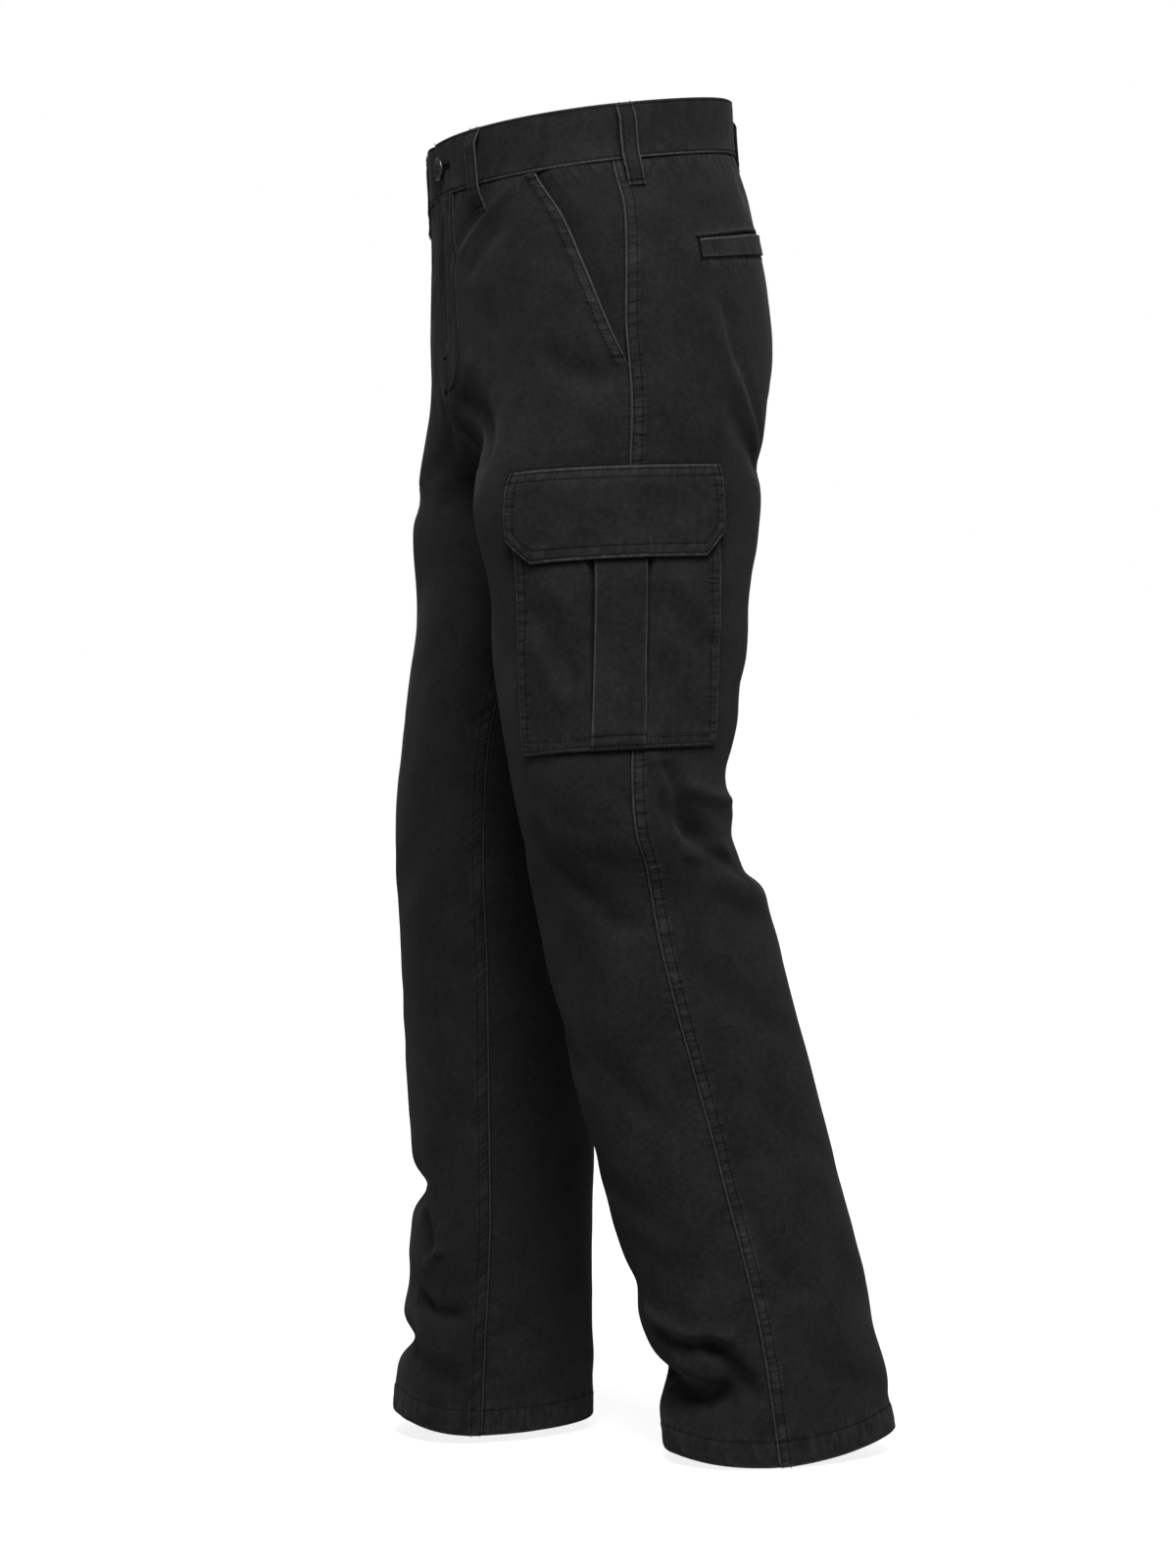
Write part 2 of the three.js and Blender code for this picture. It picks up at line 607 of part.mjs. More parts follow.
// The flap is sewn down along its top and lies over the pocket and its pleats. Its lower corners are cut off.
function cargoFlap(leg) {
  const slope = (share) => CARGO.slope * lerp(FLAP.from, FLAP.to, share);
  const corner = FLAP.corner / (FLAP.to - FLAP.from);
  const columns = [0, corner / 2, ...steps(corner, 1 - corner, FLAP_GRID.columns), 1 - corner / 2, 1];
  const inCorner = (share) => Math.max(0, corner - Math.min(share, 1 - share)) / corner;
  const cut = (share) => FLAP.corner * FLAP.steep * inCorner(share);
  const rows = steps(0, 1, FLAP_GRID.rows).map((down) => ({
    down,
    at: (share) => slope(share) + lerp(FLAP.top, FLAP.foot + cut(share), down),
  }));
  const middle = (FLAP.top + FLAP.foot) / 2;
  const s = columns.map((share) => travel(leg, 1, middle, lerp(FLAP.from, FLAP.to, share) || HERE));
  const lift = (mm) => {
    const before = smooth(PLEAT.from - PLEAT.far, PLEAT.from - PLEAT.near, mm);
    const after = smooth(PLEAT.to + PLEAT.far, PLEAT.to + PLEAT.near, mm);
    return TURNED + LAID + cargoStand(shareAcross(mm), FLAP_LIFT.over) + (CLOTH + LAID) * before * after;
  };
  const layer = (extra) =>
    rows.map((row) =>
      columns.map((share, j) => {
        const lifted = smooth(FLAP_LIFT.start, FLAP_LIFT.end, row.down);
        const out = LAID + lift(lerp(FLAP.from, FLAP.to, share)) * lifted;
        return facePoint(leg, s[j], row.at(share), out + extra);
      }),
    );
  return wall(layer(TURNED), layer(0));
}

add("waistband", waistband());
add("fly", fly());
for (const leg of ["left", "right"]) {
  add(`front_${leg}`, frontPanel(leg));
  add(`back_${leg}`, backPanel(leg));
  add(`hip_facing_${leg}`, hipFacing(leg));
  add(`back_welt_${leg}`, welt(leg));
  add(`cargo_pocket_${leg}`, cargoPocket(leg));
  add(`cargo_pleat_${leg}`, cargoPleat(leg));
  add(`cargo_flap_${leg}`, cargoFlap(leg));
}
for (const loop of LOOPS) add(loop.name, beltLoop(loop));

const fastening = add("button", await button(), horn);
const buttonAt = BUTTON.side / PANEL_WIDTH;
const buttonAxis = normalOf(clothPoint, "left", buttonAt, BUTTON.h);
fastening.position.copy(facePoint("left", buttonAt, BUTTON.h, BAND_PROUD + LAID));
fastening.quaternion.setFromUnitVectors(new THREE.Vector3(0, 1, 0), buttonAxis);

export default trousers;
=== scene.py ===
"""Cargo trousers in washed black twill, filled out as if worn: the cloth, its creases and its sewing.

Sizes in the tables are millimetres; meshes are metres. The front faces -Y and the wearer's left is +X.
A place on the garment is s and h: s runs round a leg, 0 at the inseam, 1 at the outseam and 2 at the
inseam again, and h is the height label of a row, which is level but for the waist tilt and hem lift.
"""
import math
from collections import namedtuple

import bpy
import numpy as np
from bpy.props import FloatProperty, FloatVectorProperty, PointerProperty
from mathutils import Matrix


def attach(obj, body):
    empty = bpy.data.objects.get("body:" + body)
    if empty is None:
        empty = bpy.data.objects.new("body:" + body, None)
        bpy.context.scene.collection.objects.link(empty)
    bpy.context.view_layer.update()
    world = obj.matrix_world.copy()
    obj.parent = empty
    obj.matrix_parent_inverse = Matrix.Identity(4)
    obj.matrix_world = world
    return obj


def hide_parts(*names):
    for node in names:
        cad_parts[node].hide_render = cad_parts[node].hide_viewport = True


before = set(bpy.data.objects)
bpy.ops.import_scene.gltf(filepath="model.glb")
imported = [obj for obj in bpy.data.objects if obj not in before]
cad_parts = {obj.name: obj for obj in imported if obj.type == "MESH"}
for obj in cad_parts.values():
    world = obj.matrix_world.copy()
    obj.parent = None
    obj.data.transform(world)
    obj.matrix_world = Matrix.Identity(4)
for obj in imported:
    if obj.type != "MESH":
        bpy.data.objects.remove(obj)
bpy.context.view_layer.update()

bl_info = {
    "name": "Cargo trousers",
    "version": (1, 0, 0),
    "blender": (4, 5, 0),
    "location": "3D View > Sidebar > Trousers",
    "description": "Builds a pair of cargo trousers in washed twill over their solid frame",
    "category": "Mesh",
}

MM = 0.001

# Heights and seams of the cut, as in the solids
BAND_TOP = 22.0
BAND_SEAM = -22.0
CROTCH = -255.0
HEM = -1018.0
GAP = 0.3
FRONT_RISE = 64.0
BACK_RISE = 130.0
OPENS_BELOW = 70.0
OPENS_ABOVE = 110.0
WAIST_TILT = 0.155
WAIST_CURL = 4.0
WAIST_TILT_ENDS = -200.0
WAIST_DEPTH = 120.0
HEM_LIFT_STARTS = -860.0
HemLift = namedtuple("HemLift", "front back all")
HEM_LIFT = {"left": HemLift(7.0, 18.0, 0.0), "right": HemLift(12.0, 2.0, 5.0)}
PANEL_WIDTH = 255.0  # the length round the leg that one unit of s stands for in a fold

Torso = namedtuple("Torso", "h front back seam side")
TORSO = (
    Torso(22, -117, 116, -22, 151),
    Torso(-22, -114, 119, -23, 156),
    Torso(-60, -114, 130, -19, 171),
    Torso(-105, -113, 141, -21, 182),
    Torso(-150, -111, 148, -23, 188),
    Torso(-190, -110, 153, -23, 190),
    Torso(-255, -110, 154, -23, 188),
)
Girth = namedtuple("Girth", "h girth")
LEG_GIRTH = (
    Girth(-255, 653),
    Girth(-345, 612),
    Girth(-440, 562),
    Girth(-540, 525),
    Girth(-640, 510),
    Girth(-1018, 500),
)
Outseam = namedtuple("Outseam", "h left right")
OUTSEAM_AHEAD = (
    Outseam(-255, 19, 0),
    Outseam(-345, 21, -12),
    Outseam(-540, 25, -11),
    Outseam(-590, 31, -8),
    Outseam(-650, 29, -8),
    Outseam(-740, 25, -8),
    Outseam(-824, 27, -8),
    Outseam(-916, 33, -8),
    Outseam(-1018, 31, -8),
)
Leg = namedtuple("Leg", "h front back inseam centre")
LEG = {
    "left": (
        Leg(-100, -98, 128, 5, 91),
        Leg(-150, -101, 130, 5, 94),
        Leg(-190, -112, 134, 5, 95),
        Leg(-255, -121, 123, 5, 94),
        Leg(-345, -99, 110, 3, 97),
        Leg(-440, -86, 99, -3, 98),
        Leg(-490, -78, 89, -4, 98),
        Leg(-535, -70, 93, 0, 98),
        Leg(-560, -65, 115, 6, 98),
        Leg(-585, -59, 130, 12, 98),
        Leg(-640, -47, 140, 26, 98),
        Leg(-732, -26, 167, 50, 98),
        Leg(-824, 2, 192, 77, 98),
        Leg(-916, 32, 220, 104, 98),
        Leg(-1018, 46, 234, 118, 98),
    ),
    "right": (
        Leg(-100, -98, 128, 5, 91),
        Leg(-150, -101, 128, 5, 94),
        Leg(-190, -113, 122, 5, 95),
        Leg(-255, -117, 104, 5, 94),
        Leg(-345, -110, 82, -37, 96),
        Leg(-440, -115, 63, -69, 97),
        Leg(-540, -124, 46, -75, 98),
        Leg(-640, -118, 44, -72, 98),
        Leg(-740, -112, 44, -71, 98),
        Leg(-840, -109, 43, -70, 98),
        Leg(-890, -114, 42, -71, 98),
        Leg(-940, -117, 42, -73, 98),
        Leg(-1018, -125, 41, -75, 98),
    ),
}

# Creases: from and to are s and h, depth is outwards, so a trough is negative. bow bends one sideways.
Fold = namedtuple("Fold", "leg s0 h0 s1 h1 depth width bow")
FOLDS = (
    # the largest, as in the solids
    Fold("left", 1.42, -489, 1.70, -489, -7, 17, 0),
    Fold("left", 1.10, -512, 1.66, -536, -8, 13, 34),
    Fold("left", 1.36, -517, 1.62, -517, 5, 15, 0),
    Fold("left", 0.50, -560, 0.78, -640, -5, 34, 0),
    Fold("left", 1.20, -595, 1.60, -590, -4, 22, 0),
    Fold("left", 1.25, -860, 1.55, -950, -5, 26, 0),
    Fold("left", 0.28, -946, 0.92, -965, -20, 16, 14),
    Fold("left", 0.30, -905, 0.75, -905, 3, 20, 10),
    Fold("left", 1.42, -246, 1.75, -262, -4, 16, 0),
    Fold("right", 0.30, -262, 0.62, -268, -4, 14, 0),
    Fold("right", 0.34, -820, 0.78, -822, -12, 14, 0),
    Fold("right", 0.24, -914, 0.60, -896, -5, 18, 0),
    Fold("right", 0.34, -954, 0.80, -954, -11, 14, 0),
    # waist, fly and front hip
    Fold("left", 0.30, -44, 0.09, -80, -2.4, 8, 3),
    Fold("left", 0.50, -30, 0.13, -76, 2.4, 5, 3),
    Fold("left", 0.44, -56, 0.20, -96, -2.0, 8, 3),
    Fold("left", 0.02, -40, 0.03, -150, -1.7, 4, 2),
    Fold("left", 0.055, -36, 0.06, -128, 1.6, 4, -2),
    Fold("left", 0.01, -120, 0.035, -180, 1.3, 4, -2),
    Fold("left", 0.07, -196, 0.50, -250, -5.4, 10, -10),
    Fold("left", 0.05, -224, 0.34, -262, -3.0, 9, -6),
    Fold("left", 0.14, -168, 0.40, -204, 1.8, 12, -6),
    Fold("left", 0.60, -168, 0.93, -192, -4.2, 11, 8),
    Fold("left", 0.55, -206, 0.84, -232, -1.6, 12, 4),
    Fold("left", 0.20, -110, 0.34, -150, -1.4, 12, 0),
    Fold("right", 0.26, -44, 0.10, -82, -2.0, 8, -3),
    Fold("right", 0.07, -196, 0.46, -246, -4.0, 11, 10),
    Fold("right", 0.05, -226, 0.36, -268, -3.0, 9, 6),
    Fold("right", 0.58, -170, 0.92, -190, -3.0, 12, -6),
    # seat and the top of the thigh behind
    Fold("left", 1.30, -204, 1.44, -256, -4.6, 12, 6),
    Fold("left", 1.30, -136, 1.42, -240, 2.6, 6, 3),
    Fold("left", 1.35, -130, 1.47, -232, -2.4, 7, 3),
    Fold("left", 1.20, -90, 1.35, -112, 1.3, 7, 2),
    Fold("left", 1.24, -52, 1.46, -84, -1.5, 11, 3),
    Fold("left", 1.60, -50, 1.78, -78, -1.6, 11, -3),
    Fold("left", 1.92, -232, 1.62, -214, -3.0, 12, 8),
    Fold("left", 1.90, -272, 1.56, -306, -3.6, 13, 8),
    Fold("left", 1.86, -316, 1.58, -352, -2.2, 15, 6),
    Fold("left", 1.12, -150, 1.34, -176, -1.6, 14, 5),
    Fold("right", 1.30, -208, 1.46, -258, -4.0, 12, -6),
    Fold("right", 1.24, -52, 1.46, -84, -1.5, 11, -3),
    Fold("right", 1.60, -50, 1.78, -78, -1.6, 11, 3),
    Fold("right", 1.92, -232, 1.60, -212, -3.0, 12, -8),
    Fold("right", 1.90, -268, 1.50, -300, -4.4, 13, -8),
    Fold("right", 1.88, -306, 1.56, -340, -3.0, 14, -6),
    Fold("right", 1.90, -352, 1.66, -392, -2.4, 16, -6),
    # thighs
    Fold("left", 0.30, -340, 0.34, -420, 5.5, 40, 0),
    Fold("left", 0.40, -306, 0.56, -420, -2.4, 24, 6),
    Fold("left", 0.24, -322, 0.44, -392, -2.0, 18, -5),
    Fold("left", 0.12, -352, 0.30, -430, -2.2, 18, 4),
    Fold("left", 1.42, -330, 1.62, -400, -3.2, 16, 6),
    Fold("left", 1.40, -416, 1.66, -452, -3.0, 16, 6),
    Fold("right", 0.40, -318, 0.58, -404, -2.2, 22, -6),
    Fold("right", 0.16, -340, 0.34, -420, -2.2, 18, 4),
    Fold("right", 0.62, -430, 0.90, -486, -2.2, 18, -4),
    Fold("right", 1.44, -380, 1.70, -452, -3.0, 20, -6),
    # knees
    Fold("left", 1.060, -474, 1.130, -541, 3.6, 4.5, -5),
    Fold("left", 1.085, -480, 1.190, -540, -4.4, 5.5, -6),
    Fold("left", 1.16, -492, 1.38, -506, 2.4, 10, 5),
    Fold("left", 1.17, -496, 1.44, -507, 2.4, 4.5, 5),
    Fold("left", 1.13, -550, 1.33, -547, 3.4, 5.5, -6),
    Fold("left", 1.16, -562, 1.34, -566, -3.2, 7, -5),
    Fold("left", 1.20, -584, 1.36, -596, -2.2, 9, 4),
    Fold("left", 0.20, -500, 0.44, -548, -2.4, 18, 6),
    Fold("left", 0.62, -500, 0.86, -532, -1.8, 16, 4),
    Fold("left", 0.58, -532, 0.94, -606, -3.4, 11, 3),
    Fold("left", 1.70, -520, 1.92, -556, -3.0, 14, -6),
    Fold("right", 1.42, -500, 1.76, -524, -4.6, 13, -10),
    Fold("right", 1.46, -536, 1.80, -552, -3.6, 12, -8),
    Fold("right", 1.50, -566, 1.84, -586, -2.6, 13, -6),
    Fold("right", 1.40, -484, 1.66, -498, 2.4, 10, -5),
    Fold("right", 0.18, -520, 0.40, -580, -2.4, 18, 5),
    Fold("right", 0.66, -540, 0.92, -570, -2.0, 16, -4),
    # calves and shins
    Fold("left", 1.10, -636, 1.38, -696, -3.2, 14, 6),
    Fold("left", 1.14, -730, 1.38, -790, -3.2, 14, 6),
    Fold("left", 1.050, -780, 1.125, -890, -2.6, 9, 5),
    Fold("left", 0.66, -690, 0.92, -762, -3.2, 15, 5),
    Fold("left", 0.34, -650, 0.60, -720, -3.2, 15, 6),
    Fold("left", 0.40, -770, 0.72, -826, -3.4, 14, 6),
    Fold("left", 0.62, -848, 0.90, -876, -2.2, 14, 5),
    Fold("left", 1.64, -640, 1.88, -700, -2.6, 20, -6),
    Fold("left", 1.60, -800, 1.86, -850, -2.4, 18, -6),
    Fold("right", 1.72, -620, 1.95, -700, -2.2, 20, 5),
    Fold("right", 0.08, -640, 0.30, -716, -2.2, 18, -5),
    Fold("right", 1.66, -760, 1.92, -836, -2.4, 18, 6),
    Fold("right", 0.06, -752, 0.24, -800, -2.0, 14, 4),
    Fold("right", 1.10, -640, 1.44, -700, -2.6, 22, -6),
    Fold("right", 1.14, -770, 1.50, -838, -2.6, 20, -6),
    Fold("right", 0.60, -690, 0.88, -740, -2.4, 18, -5),
    # the break over the foot
    Fold("left", 0.58, -914, 0.88, -926, -5.0, 7, 6),
    Fold("left", 0.82, -922, 0.965, -968, -8.5, 9, -6),
    Fold("left", 0.56, -902, 0.93, -916, 3.6, 6, 7),
    Fold("left", 0.66, -940, 0.86, -954, 3.4, 8, 4),
    Fold("left", 0.22, -884, 0.50, -876, -3.0, 13, 6),
    Fold("left", 1.14, -930, 1.40, -984, -3.6, 15, 8),
    Fold("left", 1.62, -900, 1.86, -950, -4.0, 15, 8),
    Fold("left", 1.30, -992, 1.60, -986, -2.4, 12, 4),
    Fold("right", 0.290, -818, 0.190, -868, 3.8, 5.5, 5),
    Fold("right", 0.185, -866, 0.290, -884, 3.4, 5, -4),
    Fold("right", 0.33, -834, 0.25, -874, -3.6, 6.5, 4),
    Fold("right", 0.36, -908, 0.08, -920, -6.0, 8, -6),
    Fold("right", 0.34, -940, 0.10, -950, 2.4, 10, -4),
    Fold("right", 0.36, -962, 0.08, -974, -2.8, 10, -5),
    Fold("right", 1.66, -900, 1.94, -936, -2.8, 14, -6),
    Fold("right", 1.20, -900, 1.52, -944, -3.6, 15, -8),
    Fold("right", 1.58, -968, 1.84, -988, -2.4, 12, -4),
)

# Soft unevenness of the whole face: size of a patch round and down, and its height
Patch = namedtuple("Patch", "round down height seed")
UNEVEN = (Patch(82, 120, 1.5, 11), Patch(36, 50, 1.0, 12), Patch(15, 19, 0.4, 13))

# Front pocket, back pocket, cargo pocket, fly, loops, band and button, as in the solids. Only the back
# loop stands further off than its solid, so that it shows beyond the band.
MOUTH_AHEAD = 62.0
MOUTH_FOOT = -182.0
FACING_LAP = 14.0
FACING_DEPTH = 2.7
FACING_RISE = 24.0
Welt = namedtuple("Welt", "start length top height climb")
WELT = Welt(66, 130, -88, 14, 6)
Cargo = namedtuple("Cargo", "start end top foot slope stand")
CARGO = Cargo(-96, 78, -268, -470, 0.05, 1.8)
Pleat = namedtuple("Pleat", "start end")
PLEAT = Pleat(-30, 9)
Flap = namedtuple("Flap", "start end top foot corner")
FLAP = Flap(-100, 82, -258, -327, 20)
FLAP_STEEP = 0.9  # the cut corner is this much as high as it is wide
CORNER_COS = math.cos(math.atan(FLAP_STEEP))
Fly = namedtuple("Fly", "width past foot curve")
FLY = Fly(30, 4, -188, 34)
LOOP_WIDTH = 14.0
LOOP_FOOT = -44.0
Loop = namedtuple("Loop", "name leg seam distance stand")  # distance is behind that seam, 0, 1 or 2 as s
LOOPS = (
    Loop("belt_loop_front_left", "left", 0, 72.0, 5.8),
    Loop("belt_loop_front_right", "right", 0, 84.0, 0.9),
    Loop("belt_loop_side_left", "left", 1, 9.5, 5.8),
    Loop("belt_loop_side_right", "right", 1, 9.5, 5.8),
    Loop("belt_loop_back", "left", 2, 0.0, 9.2),
)
BAND_LAP = 14.0
BAND_UNDER = 24.0
BAND_PROUD = 0.9
BAND_THICK = 2.6
Buttonhole = namedtuple("Buttonhole", "start end down")  # from the band's left end, and down from its top
BUTTONHOLE = Buttonhole(19, 37, 21.5)
Button = namedtuple("Button", "radius thick rim hole spread side")  # side is left of the centre front
BUTTON = Button(9.0, 3.4, 1.6, 1.1, 1.9, 7.0)
BUTTON_SHANK = 0.8

# How far the outer faces of the patches stand over the panels
POCKET_UP = 2.05
PLEAT_UP = 3.95
FLAP_SEAM_UP = 2.2
FLAP_OVER = 2.8
FLAP_OVER_PLEAT = 2.4
WELT_UP = 1.6

# Creases of the pocket cloth, in millimetres behind the outseam and down from the pocket's top
Dent = namedtuple("Dent", "x0 y0 x1 y1 depth width")
POCKET_DENTS = (
    Dent(-80, 92, -38, 152, -2.3, 9),
    Dent(-84, 112, -50, 168, 2.4, 8),
    Dent(-66, 74, -34, 116, 1.9, 8),
    Dent(16, 82, 60, 136, -1.9, 10),
    Dent(18, 140, 52, 186, -1.4, 9),
    Dent(34, 74, 72, 116, 1.9, 9),
    Dent(-22, 84, 2, 132, -1.3, 9),
    Dent(-20, 150, 4, 176, 0.7, 9),
)
FLAP_DENTS = (
    Dent(-84, 18, -44, 40, -1.5, 10),
    Dent(-44, 44, -4, 58, 1.2, 9),
    Dent(8, 22, 52, 44, -1.4, 10),
    Dent(36, 52, 72, 34, 1.2, 8),
)

# Sewing: distance of the rows from an edge
EDGE_ROW = 2.5
WIDE_ROW = 9.5
CARGO_ROW = 10.0
FLAP_ROW = 8.5
BAND_ROW = 2.4
FLY_ROW = 3.0
BAND_WIDTH = 12.0  # a felled seam
HEM_HIGH = 20.0
TACK = {"pitch": 0.0007, "along": 0.0005}  # metres: the close stitches of a bar tack

# Floor and camera
FLOOR_BELOW = 1.5
FLOOR_REACH = 30.0  # metres
CAMERA_PLACE = (3.0618, -0.9304, -0.496)  # metres
CAMERA_AZIMUTH = 73
CAMERA_LENS = 92.6

SIDE = {"left": 1.0, "right": -1.0}
OTHER = {"left": "right", "right": "left"}
LEGS = ("left", "right")
STEP_S = 1e-3
STEP_H = 3.0
SEAM_S = GAP / 2 / PANEL_WIDTH
UNDER_S = 1.2 / PANEL_WIDTH  # how far the plain side of a seam goes on under its neighbour
TOP_UNDER = 0.9  # and a panel's top under the band


# The garment's face, as places and normals


def smooth(low, high, x):
    """A soft step from 0 at low to 1 at high. It falls if low is the larger."""
    t = np.clip((np.asarray(x, float) - low) / (high - low), 0, 1)
    return t * t * (3 - 2 * t)


def bump(x, centre, width):
    """A soft ridge, 1 high at its centre."""
    return np.exp(-(((x - centre) / width) ** 2))


def cloud(x, y, seed):
    """Smooth noise from -1 to 1 over a plane, with cells one unit wide."""
    side = 128
    knots = np.random.default_rng(seed).uniform(-1, 1, (side, side))
    x, y = np.broadcast_arrays(np.asarray(x, float), np.asarray(y, float))
    i, j = np.floor(x).astype(int), np.floor(y).astype(int)
    u, v = smooth(0, 1, x - i), smooth(0, 1, y - j)
    low = knots[i % side, j % side] * (1 - u) + knots[(i + 1) % side, j % side] * u
    high = knots[i % side, (j + 1) % side] * (1 - u) + knots[(i + 1) % side, (j + 1) % side] * u
    return low * (1 - v) + high * v


def column(table, name, h):
    """A smooth curve through one column of a table whose rows run downwards."""
    heights = np.array([row.h for row in table], float)
    values = np.array([getattr(row, name) for row in table], float)
    h = np.clip(h, heights[-1], heights[0])
    k = np.arange(len(heights))
    before, after = np.maximum(k - 1, 0), np.minimum(k + 1, len(heights) - 1)
    slopes = (values[after] - values[before]) / (heights[after] - heights[before])
    i = np.clip(np.searchsorted(-heights, -h, side="right") - 1, 0, len(heights) - 2)
    span = heights[i + 1] - heights[i]
    t = (h - heights[i]) / span
    return (
        values[i] * (1 + 2 * t) * (1 - t) ** 2
        + values[i + 1] * t * t * (3 - 2 * t)
        + span * slopes[i] * t * (1 - t) ** 2
        - span * slopes[i + 1] * t * t * (1 - t)
    )


def leg_ring(leg, s, h):
    """x and y round a leg, as for the left one."""
    table = LEG[leg]
    front, back = column(table, "front", h), column(table, "back", h)
    middle, half_depth = (front + back) / 2, (back - front) / 2
    seat = column(TORSO, "side", h) / 2
    cut = np.sqrt(column(LEG_GIRTH, "girth", h) ** 2 / (2 * math.pi**2) - half_depth**2)
    half_width = seat + (cut - seat) * smooth(CROTCH, CROTCH - 120, h)
    centre = np.where(h > CROTCH, half_width, column(table, "centre", h))
    inner = ((1 + np.cos(math.pi * s)) / 2) ** 3
    outer = ((1 - np.cos(math.pi * s)) / 2) ** 3
    y = (
        middle
        - half_depth * np.sin(math.pi * s)
        + inner * (column(table, "inseam", h) - middle)
        - outer * column(OUTSEAM_AHEAD, leg, h)
    )
    return centre - half_width * np.cos(math.pi * s), y


def torso_ring(s, h):
    """x and y round the seat and waist, as for the left half."""
    seam = column(TORSO, "seam", h)
    end = np.where(s < 1, column(TORSO, "front", h), column(TORSO, "back", h))
    quarter = math.pi / 2 * s
    x = column(TORSO, "side", h) * np.sin(quarter)
    return x, seam + (end - seam) * np.abs(np.cos(quarter))


def plain(leg, s, h):
    """The garment before it is creased. Above the crotch a leg's ring opens into half of the seat's."""
    s, h = np.broadcast_arrays(np.asarray(s, float), np.asarray(h, float))

    def rise(height):
        return np.sqrt(1 - (1 - np.clip((h - CROTCH) / height, 0, 1)) ** 2)

    curve = np.where(s < 1, rise(FRONT_RISE), rise(BACK_RISE))
    away = smooth(0, 0.45, np.minimum(s, 2 - s))
    share = curve + (smooth(CROTCH - OPENS_BELOW, CROTCH + OPENS_ABOVE, h) - curve) * away
    leg_x, leg_y = leg_ring(leg, s, h)
    torso_x, torso_y = torso_ring(s, h)
    x, y = leg_x + (torso_x - leg_x) * share, leg_y + (torso_y - leg_y) * share
    tilt = smooth(WAIST_TILT_ENDS, BAND_SEAM, h)
    down = smooth(HEM_LIFT_STARTS, HEM, h)
    lift = HEM_LIFT[leg]
    z = h + tilt * (WAIST_TILT * y + WAIST_CURL * (y / WAIST_DEPTH) ** 2)
    z = z + down * (lift.all + np.sin(math.pi * s) ** 2 * np.where(s < 1, lift.front, lift.back))
    return np.stack([SIDE[leg] * x, y, z], -1)


def unit(v):
    """The same directions, one unit long."""
    return v / np.maximum(np.linalg.norm(v, axis=-1, keepdims=True), 1e-12)


def outward(leg, s, h):
    """The outward normal of the plain face. At the centre seams it stays out of the other half."""
    s, h = np.broadcast_arrays(np.asarray(s, float), np.asarray(h, float))
    centre = (h > CROTCH - STEP_H) & ((s < STEP_S) | (s > 2 - STEP_S))
    after = np.where(centre, np.clip(s + STEP_S, 0, 2), (s + STEP_S) % 2)
    before = np.where(centre, np.clip(s - STEP_S, 0, 2), (s - STEP_S) % 2)
    around = plain(leg, after, h) - plain(leg, before, h)
    up = plain(leg, s, h + STEP_H) - plain(leg, s, h - STEP_H)
    normal = np.cross(around, up) * SIDE[leg]
    normal[..., 0] = np.where(centre, 0, normal[..., 0])
    under = centre & (h < CROTCH + STEP_H)
    return unit(np.where(under[..., None], np.array([0.0, 0.0, -1.0]), normal))


def crease(x, y, x0, y0, x1, y1, depth, width, bow=0.0):
    """A soft trough or ridge between two points of a plane."""
    length = math.hypot(x1 - x0, y1 - y0)
    dx, dy = (x1 - x0) / length, (y1 - y0) / length
    rx, ry = x - x0, y - y0
    t = (rx * dx + ry * dy) / length
    middle = np.clip(t, 0, 1)
    off = rx * dy - ry * dx - 4 * bow * middle * (1 - middle)
    soft = width / length
    ends = smooth(-soft, soft, t) * smooth(1 + soft, 1 - soft, t)
    return depth * ends * np.exp(-((off / width) ** 2))


def folds(leg, s, h):
    """How far the creases lift the cloth off the plain face."""
    height = np.zeros(np.broadcast(s, h).shape)
    for fold in FOLDS:
        if fold.leg == leg:
            x0, x1 = fold.s0 * PANEL_WIDTH, fold.s1 * PANEL_WIDTH
            height += crease(s * PANEL_WIDTH, h, x0, fold.h0, x1, fold.h1, fold.depth, fold.width, fold.bow)
    return height


def relief(leg, s, h):
    """The creases and the cloth's soft unevenness."""
    height = folds(leg, s, h)
    calm = smooth(0, 0.14, np.minimum(s, 2 - s)) * smooth(BAND_SEAM - 4, BAND_SEAM - 60, h)
    for patch in UNEVEN:
        shift = 40 if leg == "right" else 0
        place = s * PANEL_WIDTH / patch.round + shift
        height += patch.height * calm * cloud(place, h / patch.down, patch.seed)
    return height


def one_leg(leg, s, h):
    """Points and normals on one leg's own half of the garment."""
    normal = outward(leg, s, h)
    return plain(leg, s, h) + normal * relief(leg, s, h)[..., None], normal


def face(leg, s, h):
    """Points of the creased face and their normals. s may go past the inseam or the centre seam."""
    s, h = np.broadcast_arrays(np.asarray(s, float), np.asarray(h, float))
    s = np.where((s > 2) & (h <= CROTCH), s - 2, s)
    point, normal = one_leg(leg, np.clip(s, 0, 2), h)
    beyond = (s < 0) | (s > 2)
    if beyond.any():
        there = np.where(s < 0, -s, 4 - s)
        far_point, far_normal = one_leg(OTHER[leg], np.clip(there, 0, 2), h)
        point = np.where(beyond[..., None], far_point, point)
        normal = np.where(beyond[..., None], far_normal, normal)
    return point, normal


def travel(leg, start, h, distance):
    """The s that lies some millimetres round the garment from a start, towards the back if positive."""
    s = np.linspace(-0.2, 2.2, 961)
    length = ring_length(leg, s, h)
    return np.interp(np.interp(start, s, length) + distance, length, s)


def ring_length(leg, s, h):
    """Millimetres round the garment to each s of a row."""
    ring = plain(leg, s, np.full_like(s, h))
    return np.concatenate([[0], np.cumsum(np.linalg.norm(np.diff(ring, axis=0), axis=1))])


